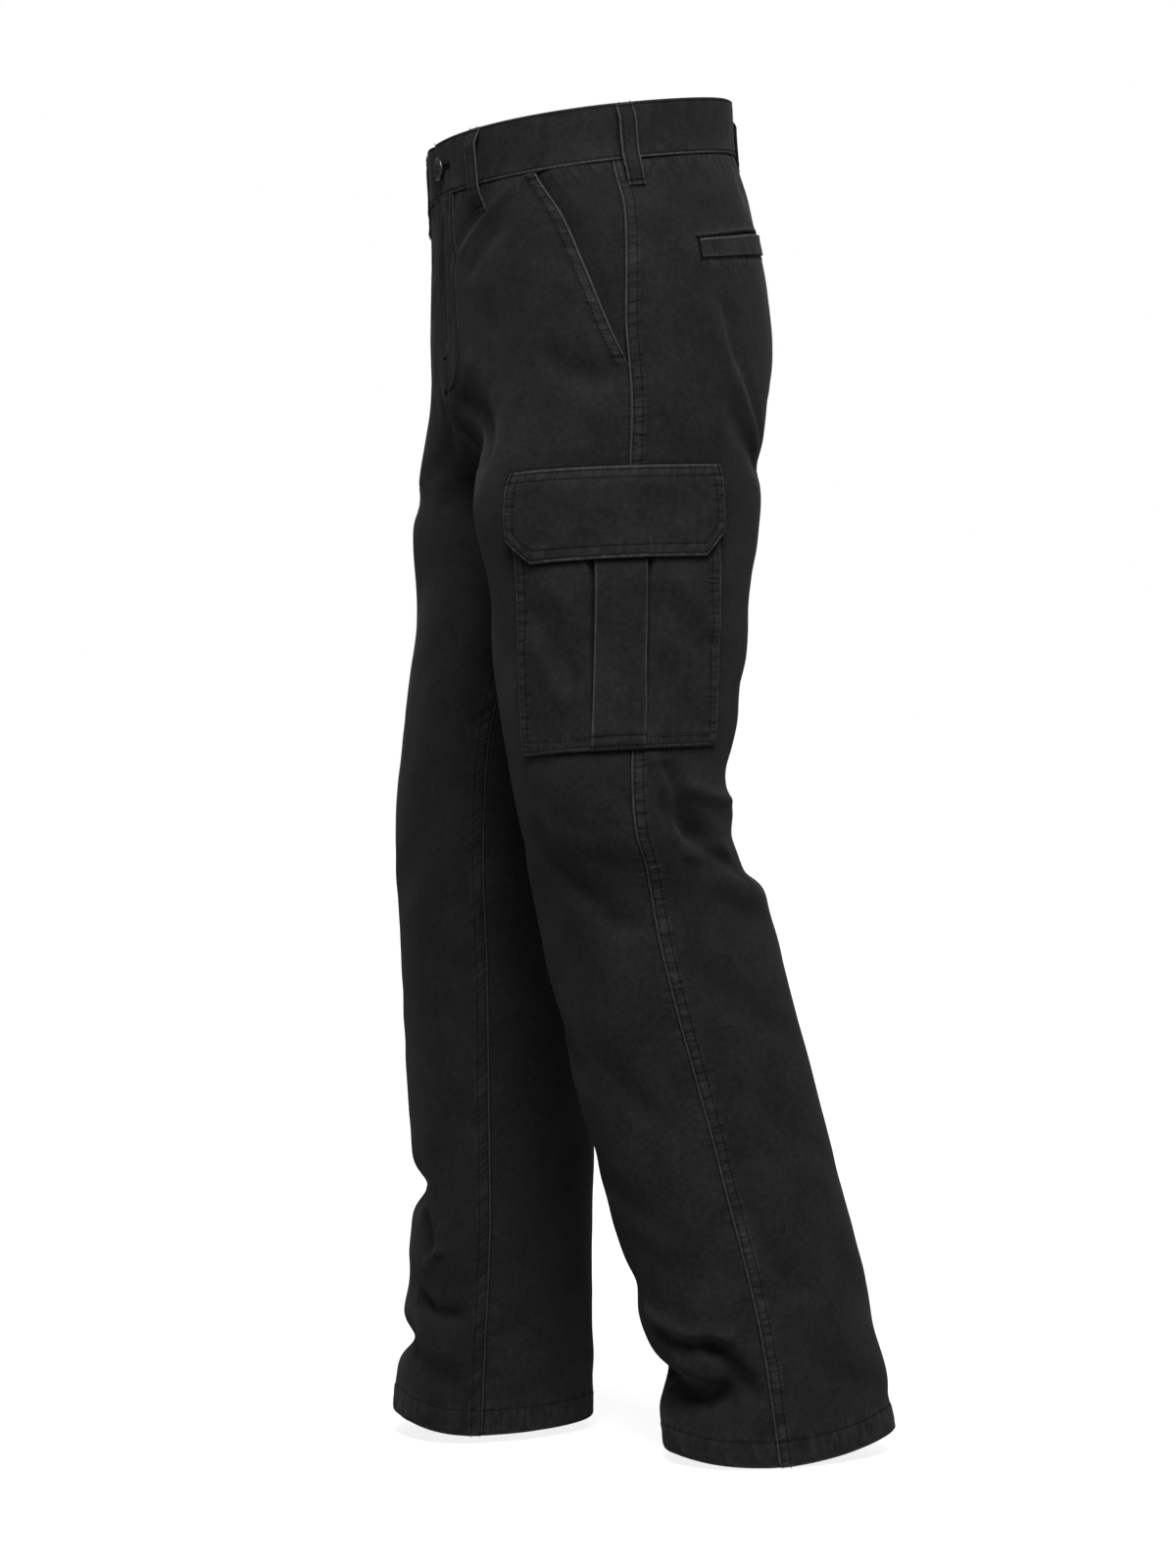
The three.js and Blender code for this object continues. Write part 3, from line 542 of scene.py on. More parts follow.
def mouth(leg, h):
    """The s of the slanted front pocket's mouth, set back from the outseam."""
    share = np.clip((h - MOUTH_FOOT) / (BAND_SEAM - MOUTH_FOOT), 0, 1)
    return travel(leg, 1, h, -MOUTH_AHEAD * share) if share > 0 else 1 + UNDER_S


# Cloth as grids of places on that face


def steps(start, end, size):
    """Even places from start to end, no further apart than size."""
    count = max(1, int(math.ceil(abs(end - start) / size)))
    return np.linspace(start, end, count + 1)


# Millimetres in from an edge where a panel has a column: close together at the edge and at its sewing
EDGE_STEPS = np.array([0, 0.4, 0.8, 1.3, 1.9, 2.5, 3.2, 4, 5, 6, 7, 8, 8.8, 9.5, 10.2, 11, 12, 13.4, 15, 17])
MIDDLE_STEP = 3.6


def edge_steps(width):
    """Millimetres across a panel. Every row has as many, so the middle ones spread with the width."""
    inside = max(2, int((PANEL_WIDTH - 2 * EDGE_STEPS[-1]) / MIDDLE_STEP))
    inner = np.linspace(EDGE_STEPS[-1], width - EDGE_STEPS[-1], inside + 1)[1:-1]
    return np.concatenate([EDGE_STEPS, inner, width - EDGE_STEPS[::-1]])


def rounded(distance, radius):
    """The share of its thickness that cloth keeps near a folded edge."""
    t = np.clip(distance / radius, 0, 1)
    return np.sqrt(np.maximum(1 - (1 - t) ** 2, 0.004))


class Cloth:
    """One cut piece as a grid of places on the garment, with millimetres across and down it."""

    def __init__(self, leg, s, h):
        self.leg = leg
        self.s, self.h = np.broadcast_arrays(s, h)
        self.point, self.normal = face(leg, self.s, self.h)
        self.measure()
        self.height = np.zeros(self.s.shape)
        self.wear, self.dark, self.rungs, self.cross = (np.zeros(self.s.shape) for _ in range(4))

    def measure(self):
        """Works out the millimetres along the rows and the columns."""
        across = np.linalg.norm(np.diff(self.point, axis=1), axis=2)
        down = np.linalg.norm(np.diff(self.point, axis=0), axis=2)
        self.across = np.pad(np.cumsum(across, 1), ((0, 0), (1, 0)))
        self.down = np.pad(np.cumsum(down, 0), ((1, 0), (0, 0)))
        self.width = self.across[:, -1:]
        self.length = self.down[-1:, :]

    def mark(self, **shares):
        """Adds wear, dark, rungs or cross where they aren't stronger already. Dark is painted shade; wear is
        rubbed wear, with a painted highlight on crease crests.
        """
        for kind, share in shares.items():
            setattr(self, kind, np.maximum(getattr(self, kind), share))

    @property
    def outside(self):
        return self.point + self.normal * self.height[..., None]

    def edge(self):
        return np.minimum(
            np.minimum(self.across, self.width - self.across), np.minimum(self.down, self.length - self.down)
        )

    def seam(self, distance, along, seed, band=BAND_WIDTH, thick=0.6, pucker=0.5, reach=26.0, share=1.0):
        """A felled or topstitched edge: a raised band, stitch channels and ladder-like puckers."""
        raised = smooth(-0.1, 0.8, distance) * smooth(band + 1.2, band - 0.6, distance)
        self.height += share * thick * raised
        self.rows((distance,), (EDGE_ROW, WIDE_ROW), share)
        ladder = cloud(along / 5.8, distance / 40 + 7.3, seed)
        ladder = ladder + 0.8 * cloud(along / 12.0, distance / 60, seed + 50)
        drag = smooth(0.5, 4.0, distance) * smooth(reach, band * 0.55, distance)
        self.height += share * pucker * ladder * drag
        self.pale(distance, 0.7 * share)
        self.mark(wear=share * 0.22 * np.clip(ladder, 0, 1) * raised)
        between = smooth(0.8, 2.6, distance) * smooth(band + 4, band - 2.5, distance)
        self.mark(rungs=share * between)

    def washed(self):
        """Painted shade in the troughs of the creases, and a painted highlight on their crests."""
        lift = folds(self.leg, np.clip(self.s, 0, 2), self.h)
        # Painted shade in the troughs of the smaller creases, and a painted highlight on the crests
        self.mark(dark=0.3 * smooth(0.8, 5.5, -lift) * smooth(15, 7, -lift))
        self.mark(wear=0.10 * smooth(0.8, 3.5, lift))

    def rows(self, distances, places, share=1.0, depth=0.45, width=0.6):
        """Channels where rows of stitches pull the cloth in, with painted shade in each."""
        for distance in distances:
            for place in places:
                channel = bump(distance, place, width)
                self.height -= share * depth * channel
                # Painted shade in the channel
                self.mark(dark=share * 0.7 * channel)

    def pale(self, distance, share=1.0, reach=1.9):
        """The rubbed crest of a folded edge."""
        self.mark(wear=share * smooth(reach, reach - 0.8, distance))

    def tuck(self, distance, share=1.0, depth=1.7):
        """The plain side of a seam, which dips under its neighbour, with painted shade along the dip."""
        self.height -= share * depth * smooth(3.2, 0.4, distance)
        # Painted shade where the neighbouring edge overhangs the dip
        self.mark(dark=share * smooth(3.0, 1.5, distance))

    def lengthways(self, mm, first=None, last=None):
        """A line down the cloth, mm from its start edge, or from its end edge if negative."""
        rows = range(len(self.s))[first:last]
        count = np.arange(self.s.shape[1])
        target = [mm if mm >= 0 else self.width[i, 0] + mm for i in rows]
        columns = [np.interp(x, self.across[i], count) for i, x in zip(rows, target)]
        return self.at(np.array(rows, float), np.array(columns))

    def crossways(self, mm, start=0.0, end=0.0):
        """A line across the cloth, mm below its top edge, or above its foot if negative."""
        columns = np.arange(self.s.shape[1])
        keep = (self.across[-1] >= start) & (self.across[-1] <= self.width[-1, 0] - end)
        rows = [
            np.interp(mm if mm >= 0 else self.length[0, j] + mm, self.down[:, j], np.arange(self.s.shape[0]))
            for j in columns
        ]
        return self.at(np.array(rows)[keep], columns[keep].astype(float))

    def at(self, rows, columns):
        """Places on the outside and their normals at fractional rows and columns."""
        rows = np.clip(rows, 0, self.s.shape[0] - 1.001)
        columns = np.clip(columns, 0, self.s.shape[1] - 1.001)
        i, j = rows.astype(int), columns.astype(int)
        u, v = (rows - i)[..., None], (columns - j)[..., None]
        found = []
        for grid in (self.outside, self.normal):
            low = grid[i, j] * (1 - v) + grid[i, j + 1] * v
            high = grid[i + 1, j] * (1 - v) + grid[i + 1, j + 1] * v
            found.append(low * (1 - u) + high * u)
        return found[0], unit(found[1])

    def build(self, name, thick, material, radius=None, under=None):
        """The piece as a closed shell of this thickness, with rounded edges."""
        radius = radius or thick / 2
        under = self.height - thick if under is None else under
        middle = (self.height + under) / 2
        keep = rounded(self.edge(), radius)
        outer = self.point + self.normal * (middle + (self.height - middle) * keep)[..., None]
        inner = self.point + self.normal * (middle + (under - middle) * keep)[..., None]
        sewn = np.stack([self.wear, self.dark, self.rungs, self.cross], -1)
        return wall(name, outer, inner, self.across, self.down, sewn, material)


def wall(name, outer, inner, across, down, sewn, material):
    """A closed mesh between two grids of points, with flat places as UV, and sewing marks, wear and painted
    shade as a colour.
    """
    rows, columns = across.shape
    points = np.concatenate([outer.reshape(-1, 3), inner.reshape(-1, 3)]) * MM
    at = np.arange(rows * columns).reshape(rows, columns)
    back = at + rows * columns

    def quads(a, b, c, d):
        return np.stack([a, b, c, d], -1).reshape(-1, 4)

    faces = np.concatenate(
        [
            quads(at[:-1, :-1], at[1:, :-1], at[1:, 1:], at[:-1, 1:]),
            quads(back[:-1, :-1], back[:-1, 1:], back[1:, 1:], back[1:, :-1]),
            quads(at[:-1, 0], back[:-1, 0], back[1:, 0], at[1:, 0]),
            quads(at[:-1, -1], at[1:, -1], back[1:, -1], back[:-1, -1]),
            quads(at[0, :-1], at[0, 1:], back[0, 1:], back[0, :-1]),
            quads(at[-1, :-1], back[-1, :-1], back[-1, 1:], at[-1, 1:]),
        ]
    )
    a, b, c, d = (points[faces[:, k]] for k in range(4))
    volume = np.sum(a * np.cross(b, c)) + np.sum(a * np.cross(c, d))
    if volume < 0:
        faces = faces[:, ::-1]
    flat = np.stack([across, down], -1).reshape(-1, 2) * MM
    flat = np.concatenate([flat, flat])
    marks = sewn.reshape(-1, 4)
    marks = np.clip(np.concatenate([marks, 0.25 * marks]), 0, 1)
    return mesh_object(name, points, faces, flat, marks, material)


def mesh_object(name, points, faces, flat, marks, material):
    mesh = bpy.data.meshes.new(name)
    mesh.from_pydata(points.tolist(), [], faces.tolist())
    uv = mesh.uv_layers.new(name="flat")
    uv.data.foreach_set("uv", flat[faces.ravel()].astype(np.float32).ravel())
    attribute = mesh.attributes.new("sewn", "FLOAT_COLOR", "POINT")
    attribute.data.foreach_set("color", marks.astype(np.float32).ravel())
    mesh.materials.append(material)
    mesh.shade_smooth()
    mesh.validate()
    return linked(name, mesh)


def linked(name, data):
    """A new object at the origin, in the scene."""
    obj = bpy.data.objects.new(name, data)
    bpy.context.scene.collection.objects.link(obj)
    return obj


def baked(obj):
    """An object's mesh with its modifiers in it. The object itself goes."""
    bpy.context.view_layer.update()
    made = bpy.data.meshes.new_from_object(obj.evaluated_get(bpy.context.evaluated_depsgraph_get()))
    bpy.data.objects.remove(obj)
    return made


# What each piece was cut to: width and length that show, in metres, and area if it isn't a rectangle
Cut = namedtuple("Cut", "width length area held rests_on")


def finish_piece(obj, nodes):
    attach(obj, "root")
    if nodes:
        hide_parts(*nodes)
    return obj


def finish_cloth(obj, node):
    """A cut piece: it stands for its solid, which it hides."""
    finish_piece(obj, [node])
    return obj


# Materials


def add_node(tree, kind, **values):
    node = tree.nodes.new(kind)
    for name, value in values.items():
        setattr(node, name, value)
    return node


class Nodes:
    """A material's nodes, added and joined by name."""

    def __init__(self, name):
        self.material = bpy.data.materials.new(name)
        self.material.use_nodes = True
        self.tree = self.material.node_tree
        self.shader = self.tree.nodes["Principled BSDF"]

    def add(self, kind, **values):
        return add_node(self.tree, kind, **values)

    def join(self, start, end):
        self.tree.links.new(start, end)

    def value(self, operation, first, second, clamp=False):
        node = self.add("ShaderNodeMath", operation=operation, use_clamp=clamp)
        for socket, given in zip(node.inputs, (first, second)):
            if isinstance(given, (int, float)):
                socket.default_value = given
            else:
                self.join(given, socket)
        return node.outputs[0]

    def either_way(self, value, reach):
        """A value from 0 to 1 as one from half a reach below 0 to half a reach above."""
        return self.value("MULTIPLY", self.value("SUBTRACT", value, 0.5), reach)

    def mix(self, share, first, second):
        node = self.add("ShaderNodeMix", data_type="RGBA")
        for socket, given in ((node.inputs[0], share), (node.inputs[6], first), (node.inputs[7], second)):
            if isinstance(given, bpy.types.NodeSocket):
                self.join(given, socket)
            else:
                socket.default_value = given if isinstance(given, float) else (*given, 1.0)
        return node.outputs[2]

    def noise(self, vector, scale, detail=3.0, rough=0.5, distortion=0.0):
        node = self.add("ShaderNodeTexNoise")
        self.join(vector, node.inputs["Vector"])
        node.inputs["Scale"].default_value = scale
        node.inputs["Detail"].default_value = detail
        node.inputs["Roughness"].default_value = rough
        node.inputs["Distortion"].default_value = distortion
        return node.outputs[0]

    def bump(self, height, strength, distance, normal=None):
        node = self.add("ShaderNodeBump")
        node.inputs["Strength"].default_value = strength
        node.inputs["Distance"].default_value = distance
        self.join(height, node.inputs["Height"])
        if normal is not None:
            self.join(normal, node.inputs["Normal"])
        return node.outputs[0]

    def drawn_up(self, flat, mask, scale):
        """Small folds that a seam draws up, longer one way than the other, where the mask has them."""
        stretched = self.add("ShaderNodeMapping")
        self.join(flat, stretched.inputs["Vector"])
        stretched.inputs["Scale"].default_value = scale
        folds = self.noise(stretched.outputs[0], 1.0, 1.0, 0.5, 0.3)
        return self.value("MULTIPLY", self.spread(folds, 0.3, 0.7), mask)

    def spread(self, value, low, high):
        node = self.add("ShaderNodeMapRange", interpolation_type="SMOOTHSTEP")
        self.join(value, node.inputs["Value"])
        node.inputs["From Min"].default_value = low
        node.inputs["From Max"].default_value = high
        return node.outputs[0]


def twill_material(name, look, tone=1.0):
    """Washed black twill. The colour "sewn" says where it is rubbed pale, where crease crests have a painted
    highlight, where shade is painted dark, and where a seam draws it up.
    """
    n = Nodes(name)
    place = n.add("ShaderNodeTexCoord").outputs["Object"]
    flat = n.add("ShaderNodeUVMap", uv_map="flat").outputs[0]
    sewn = n.add("ShaderNodeAttribute", attribute_name="sewn")
    marks = n.add("ShaderNodeSeparateColor")
    n.join(sewn.outputs["Color"], marks.inputs[0])
    wear, dark, down = marks.outputs[:3]
    cross = sewn.outputs["Alpha"]
    rungs = n.drawn_up(flat, down, (40.0, 200.0, 1.0))
    cross_rungs = n.drawn_up(flat, cross, (190.0, 40.0, 1.0))
    drawn = n.value("ADD", rungs, cross_rungs)
    lines = n.add("ShaderNodeTexWave", wave_type="BANDS", bands_direction="DIAGONAL")
    n.join(flat, lines.inputs["Vector"])
    lines.inputs["Scale"].default_value = 0.628 / (look.twill_pitch * 1.414)
    lines.inputs["Distortion"].default_value = 0.8
    lines.inputs["Detail"].default_value = 1.0
    lines.inputs["Detail Scale"].default_value = 2.0
    yarn = n.noise(flat, 1500, 2.0, 0.7)
    dye = n.noise(place, 30, 4.0, 0.6)
    wash = n.noise(place, 230, 3.0, 0.68, 0.6)
    grey = n.either_way(n.spread(dye, 0.34, 0.66), 0.42)
    fleck = n.either_way(n.spread(wash, 0.34, 0.68), 0.6)
    weave = n.either_way(lines.outputs["Fac"], 0.22)
    thread = n.either_way(yarn, 0.55)
    share = n.value("ADD", n.value("ADD", grey, fleck), n.value("ADD", weave, n.value("ADD", thread, 0.5)))
    cloth = n.mix(share, [c * 0.52 * tone for c in look.cloth], [c * 1.52 * tone for c in look.cloth])
    uneven = n.value("ADD", n.value("MULTIPLY", n.spread(wash, 0.30, 0.66), 0.45), 0.55)
    # The wear mark: rubbed wear, with a painted highlight where it comes from crease crests
    rubbed = n.value("MULTIPLY", wear, uneven, clamp=True)
    crests = n.value("MULTIPLY", n.spread(drawn, 0.4, 1.0), look.rung_wear)
    rubbed = n.value("ADD", rubbed, crests, clamp=True)
    pale = n.mix(n.value("MULTIPLY", rubbed, look.worn_share), cloth, list(look.worn))
    # Painted shade: the dark mark turns the colour towards a tenth of the cloth's
    colour = n.mix(n.value("MULTIPLY", dark, look.painted_shade_share), pale, [c * 0.1 for c in look.cloth])
    n.join(colour, n.shader.inputs["Base Color"])
    n.join(n.value("ADD", n.value("MULTIPLY", wash, 0.12), 0.80), n.shader.inputs["Roughness"])
    raised = n.value("ADD", n.value("MULTIPLY", lines.outputs["Fac"], 0.5), n.value("MULTIPLY", yarn, 0.8))
    raised = n.value("ADD", raised, n.value("MULTIPLY", wash, 1.2))
    weave_bump = n.bump(raised, 0.35, 0.0003)
    n.join(n.bump(drawn, 1.0, look.rung_height, weave_bump), n.shader.inputs["Normal"])
    n.shader.inputs["Specular IOR Level"].default_value = 0.16
    n.shader.inputs["Sheen Weight"].default_value = look.sheen
    n.shader.inputs["Sheen Roughness"].default_value = 0.55
    n.shader.inputs["Sheen Tint"].default_value = (1.0, 1.0, 1.0, 1.0)
    return n.material


def thread_material(look):
    """Dull thread, lighter and darker along its twist."""
    n = Nodes("sewing thread")
    place = n.add("ShaderNodeTexCoord").outputs["Object"]
    twist = n.noise(place, 1800, 1.0)
    fade = n.noise(place, 60, 2.0)
    share = n.value("ADD", n.value("MULTIPLY", twist, 0.5), n.value("MULTIPLY", fade, 0.5))
    colour = n.mix(share, [c * 0.5 for c in look.thread], [c * 1.5 for c in look.thread])
    n.join(colour, n.shader.inputs["Base Color"])
    n.shader.inputs["Roughness"].default_value = 0.8
    n.shader.inputs["Specular IOR Level"].default_value = 0.08
    return n.material


def horn_material(look):
    """Dark horn with a faint marbling and a soft shine."""
    n = Nodes("dark horn")
    place = n.add("ShaderNodeTexCoord").outputs["Object"]
    marble = n.noise(place, 320, 4.0, 0.6, 1.5)
    low, high = [c * 0.6 for c in look.button], [c * 1.7 for c in look.button]
    colour = n.mix(n.spread(marble, 0.35, 0.7), low, high)
    n.join(colour, n.shader.inputs["Base Color"])
    n.join(n.value("ADD", n.value("MULTIPLY", marble, 0.2), 0.26), n.shader.inputs["Roughness"])
    n.join(n.bump(n.noise(place, 1400, 2.0), 0.15, 0.0002), n.shader.inputs["Normal"])
    n.shader.inputs["Coat Weight"].default_value = 0.25
    n.shader.inputs["Coat Roughness"].default_value = 0.3
    return n.material


def material(kind, look):
    """The garment's materials, each made once."""
    makers = {
        "washed twill": lambda: twill_material("washed twill", look),
        # The pockets take the same twill made 1.12 times lighter: painted light on the pockets
        "pocket twill": lambda: twill_material("pocket twill", look, 1.12),
        "sewing thread": lambda: thread_material(look),
        "dark horn": lambda: horn_material(look),
    }
    return bpy.data.materials.get(kind) or makers[kind]()


# Sewing


def stitch_tree():
    """Geometry Nodes that lay stitches along the edges of a mesh whose points know the way out."""
    tree = bpy.data.node_groups.get("Stitch rows")
    if tree:
        return tree
    tree = bpy.data.node_groups.new("Stitch rows", "GeometryNodeTree")
    sockets = tree.interface
    sockets.new_socket(name="Rows", in_out="INPUT", socket_type="NodeSocketGeometry")
    for name in ("Pitch", "Along", "Across", "Proud"):
        sockets.new_socket(name=name, in_out="INPUT", socket_type="NodeSocketFloat")
    sockets.new_socket(name="Thread", in_out="INPUT", socket_type="NodeSocketMaterial")
    sockets.new_socket(name="Stitches", in_out="OUTPUT", socket_type="NodeSocketGeometry")

    def add(kind, **values):
        return add_node(tree, kind, **values)

    join = tree.links.new
    given = add("NodeGroupInput").outputs
    curve = add("GeometryNodeMeshToCurve")
    join(given["Rows"], curve.inputs["Mesh"])
    even = add("GeometryNodeResampleCurve", mode="LENGTH")
    join(curve.outputs[0], even.inputs["Curve"])
    join(given["Pitch"], even.inputs["Length"])
    out = add("GeometryNodeInputNamedAttribute", data_type="FLOAT_VECTOR")
    out.inputs["Name"].default_value = "out"
    tangent = add("GeometryNodeInputTangent")
    along = add("FunctionNodeAlignRotationToVector", axis="X")
    join(tangent.outputs[0], along.inputs["Vector"])
    upright = add("FunctionNodeAlignRotationToVector", axis="Z", pivot_axis="X")
    join(along.outputs[0], upright.inputs["Rotation"])
    join(out.outputs["Attribute"], upright.inputs["Vector"])
    bead = add("GeometryNodeMeshIcoSphere")
    bead.inputs["Radius"].default_value = 0.5
    bead.inputs["Subdivisions"].default_value = 1
    size = add("ShaderNodeCombineXYZ")
    for name, socket in zip(("Along", "Across", "Proud"), size.inputs):
        join(given[name], socket)
    uneven = add("FunctionNodeRandomValue", data_type="FLOAT")
    floats = [socket for socket in uneven.inputs if socket.type == "VALUE"]
    floats[0].default_value = 0.86
    floats[1].default_value = 1.12
    uneven.inputs["Seed"].default_value = 5
    amount = next(socket for socket in uneven.outputs if socket.type == "VALUE")
    scaled = add("ShaderNodeVectorMath", operation="SCALE")
    join(size.outputs[0], scaled.inputs[0])
    join(amount, scaled.inputs["Scale"])
    place = add("GeometryNodeInstanceOnPoints")
    join(even.outputs[0], place.inputs["Points"])
    join(bead.outputs["Mesh"], place.inputs["Instance"])
    join(upright.outputs[0], place.inputs["Rotation"])
    join(scaled.outputs[0], place.inputs["Scale"])
    real = add("GeometryNodeRealizeInstances")
    join(place.outputs[0], real.inputs[0])
    soft = add("GeometryNodeSetShadeSmooth")
    join(real.outputs[0], soft.inputs["Geometry"])
    finish = add("GeometryNodeSetMaterial")
    join(soft.outputs[0], finish.inputs["Geometry"])
    join(given["Thread"], finish.inputs["Material"])
    join(finish.outputs[0], add("NodeGroupOutput").inputs[0])
    return tree


def sew(name, rows, look, pitch=None, along=None, across=None):
    """Stitches along rows, each a pair of points and normals in millimetres."""
    points, normals, edges = [], [], []
    for place, normal in rows:
        start = len(points)
        points.extend((place + normal * 0.12) * MM)
        normals.extend(normal)
        edges.extend((start + k, start + k + 1) for k in range(len(place) - 1))
    mesh = bpy.data.meshes.new(name + "_rows")
    mesh.from_pydata([list(p) for p in points], edges, [])
    attribute = mesh.attributes.new("out", "FLOAT_VECTOR", "POINT")
    attribute.data.foreach_set("vector", np.array(normals, np.float32).ravel())
    guide = linked(name + "_rows", mesh)
    tree = stitch_tree()
    modifier = guide.modifiers.new("Stitches", "NODES")
    modifier.node_group = tree
    given = {
        "Pitch": pitch or look.stitch_pitch,
        "Along": along or look.stitch_length,
        "Across": across or look.thread_width,
        "Proud": look.thread_width * 0.8,
        "Thread": material("sewing thread", look),
    }
    for socket in tree.interface.items_tree:
        if getattr(socket, "in_out", "") == "INPUT" and socket.name in given:
            modifier[socket.identifier] = given[socket.name]
    guide.update_tag()
    made = baked(guide)
    made.name = name
    return finish_piece(linked(name, made), ())


# Pieces

GRIDS = {}


def panel_rows(top, fine=()):
    """Heights of a panel's rows. fine is a stretch, from top to foot, where they lie close together."""
    stops = [(top, top - 9, 1.3)]
    for high, low in fine:
        stops += [(stops[-1][1], high, 3.0), (high, low, 1.2)]
    stops += [(stops[-1][1], CROTCH, 3.0), (CROTCH, HEM + 26, 3.0), (HEM + 26, HEM, 1.2)]
    parts = [steps(*stop) for stop in stops]
    return np.concatenate([parts[0], *(part[1:] for part in parts[1:])])


def panel_grid(leg, start, end, rows):
    """s and h of a panel whose columns keep their distance from both edges."""
    grid = []
    for h in rows:
        s = np.linspace(start(h), end(h), 160)
        length = ring_length(leg, s, h)
        grid.append(np.interp(edge_steps(length[-1]), length, s))
    return np.array(grid), rows[:, None]


def front_panel(leg, look):
    """One front, from the inseam and centre front to the outseam and the slanted pocket."""
    rows = panel_rows(BAND_SEAM + TOP_UNDER)
    s, h = panel_grid(leg, lambda h: SEAM_S, lambda h: min(mouth(leg, h), 1 + UNDER_S), rows)
    cloth = Cloth(leg, s, h)
    end = cloth.width - cloth.across
    sewn_from = FLY.foot if leg == "left" else CROTCH
    centre = smooth(sewn_from + 6, sewn_from - 6, cloth.h)
    cloth.seam(cloth.across, cloth.down, 21, pucker=0.7 * look.pucker, share=centre)
    cloth.rungs *= 0.6
    cloth.tuck(cloth.across, 1 - centre)
    at_mouth = smooth(MOUTH_FOOT - 4, MOUTH_FOOT + 4, cloth.h)
    cloth.seam(end, cloth.down, 22, band=10.5, thick=0.6, pucker=0.35 * look.pucker, reach=18, share=at_mouth)
    under_seam(cloth, end, 31, 1 - at_mouth, look)
    top_and_hem(cloth, look)
    beside_cargo(cloth, -end)
    # Painted shade on the inner front of the thigh below the crotch, where the other leg shades it
    cloth.mark(dark=0.4 * smooth(0.62, 0.15, cloth.s) * smooth(CROTCH, CROTCH - 60, cloth.h))
    cloth.washed()
    GRIDS["front_" + leg] = cloth
    thick = look.cloth_thickness / MM
    turned = at_mouth * smooth(12, 10, end) + smooth(HEM_HIGH + 2, HEM_HIGH, cloth.length - cloth.down)
    under = cloth.height - thick * (1 + 0.9 * np.clip(turned, 0, 1))
    obj = cloth.build("front_" + leg + "_panel", thick, material("washed twill", look), under=under)
    return finish_cloth(obj, "front_" + leg)


def back_panel(leg, look):
    """One back, from the outseam to the inseam and the centre back, with the welt pocket's slit."""

    def last(h):
        return 2 + (UNDER_S if leg == "right" or h < CROTCH else -SEAM_S)

    rows = panel_rows(BAND_SEAM + TOP_UNDER, [(WELT.top + WELT.climb + 5, WELT.top - WELT.height - 4)])
    s, h = panel_grid(leg, lambda h: 1 + SEAM_S, last, rows)
    cloth = Cloth(leg, s, h)
    end = cloth.width - cloth.across
    cloth.seam(cloth.across, cloth.down, 31, pucker=0.62 * look.pucker)
    centre = smooth(CROTCH - 2, CROTCH + 8, cloth.h) if leg == "left" else 0 * cloth.h
    cloth.seam(end, cloth.down, 32, pucker=0.5 * look.pucker, share=centre)
    under_seam(cloth, end, 21, 1 - centre, look)
    welt_slit(cloth)
    top_and_hem(cloth, look)
    beside_cargo(cloth, cloth.across)
    # Painted shade on the back of the thigh near the inseam, below the crotch, fading out at the hem
    inner_thigh_shade = smooth(1.5, 1.75, cloth.s) * smooth(CROTCH + 30, CROTCH - 40, cloth.h)
    cloth.mark(dark=0.34 * inner_thigh_shade * smooth(HEM, -850, cloth.h))
    cloth.washed()
    GRIDS["back_" + leg] = cloth
    thick = look.cloth_thickness / MM
    turned = smooth(HEM_HIGH + 2, HEM_HIGH, cloth.length - cloth.down)
    under = cloth.height - thick * (1 + 0.9 * turned)
    obj = cloth.build("back_" + leg + "_panel", thick, material("washed twill", look), under=under)
    return finish_cloth(obj, "back_" + leg)


def beside_cargo(cloth, behind):
    """The line of shade on the panels round the cargo pocket and its flap."""
    row = cloth.h - CARGO.slope * behind
    for patch in (CARGO, FLAP):
        beside = np.maximum(patch.start - behind, behind - patch.end)
        away = np.maximum(beside, np.maximum(patch.foot - row, row - patch.top))
        cloth.mark(dark=0.75 * smooth(4.5, 0.5, away))


def under_seam(cloth, distance, seed, share, look):
    """The edge that its neighbour's seam lies beside: it dips, with painted shade in the dip, and the
    neighbour's puckers run on into it.
    """
    ladder = cloud(cloth.down / 5.8, distance / 40 + 7.3, seed)
    cloth.height += share * 0.35 * look.pucker * ladder * smooth(18, 2, distance)
    cloth.mark(rungs=0.45 * share * smooth(16, 4, distance))
    cloth.tuck(distance, share)


def welt_slit(cloth):
    """The slit of the back pocket's opening, just above its strip, with painted shade in the slit, and the
    stitched line round them.
    """
    x = cloth.across - WELT.start
    y = cloth.h - WELT.top - WELT.climb * x / WELT.length
    along = smooth(-1.5, 1.5, x) * smooth(WELT.length + 1.5, WELT.length - 1.5, x)
    gape = 0.6 + 1.4 * np.sin(math.pi * np.clip(x / WELT.length, 0, 1))
    slit = along * smooth(-0.8, 0.4, y) * smooth(gape + 1.0, gape - 0.2, y)
    # The slit sinks, and painted shade fills it
    cloth.height -= 1.1 * slit
    cloth.mark(dark=slit)
    cloth.height += 0.7 * along * bump(y, gape + 2.2, 1.5)
    cloth.mark(wear=0.8 * along * bump(y, gape + 1.9, 0.8))
    cloth.mark(cross=along * (smooth(14, 3, y) * smooth(2, 4, y)))
    foot = y + WELT.height
    cloth.mark(cross=along * smooth(-14, -3, foot) * smooth(1, -1, foot))


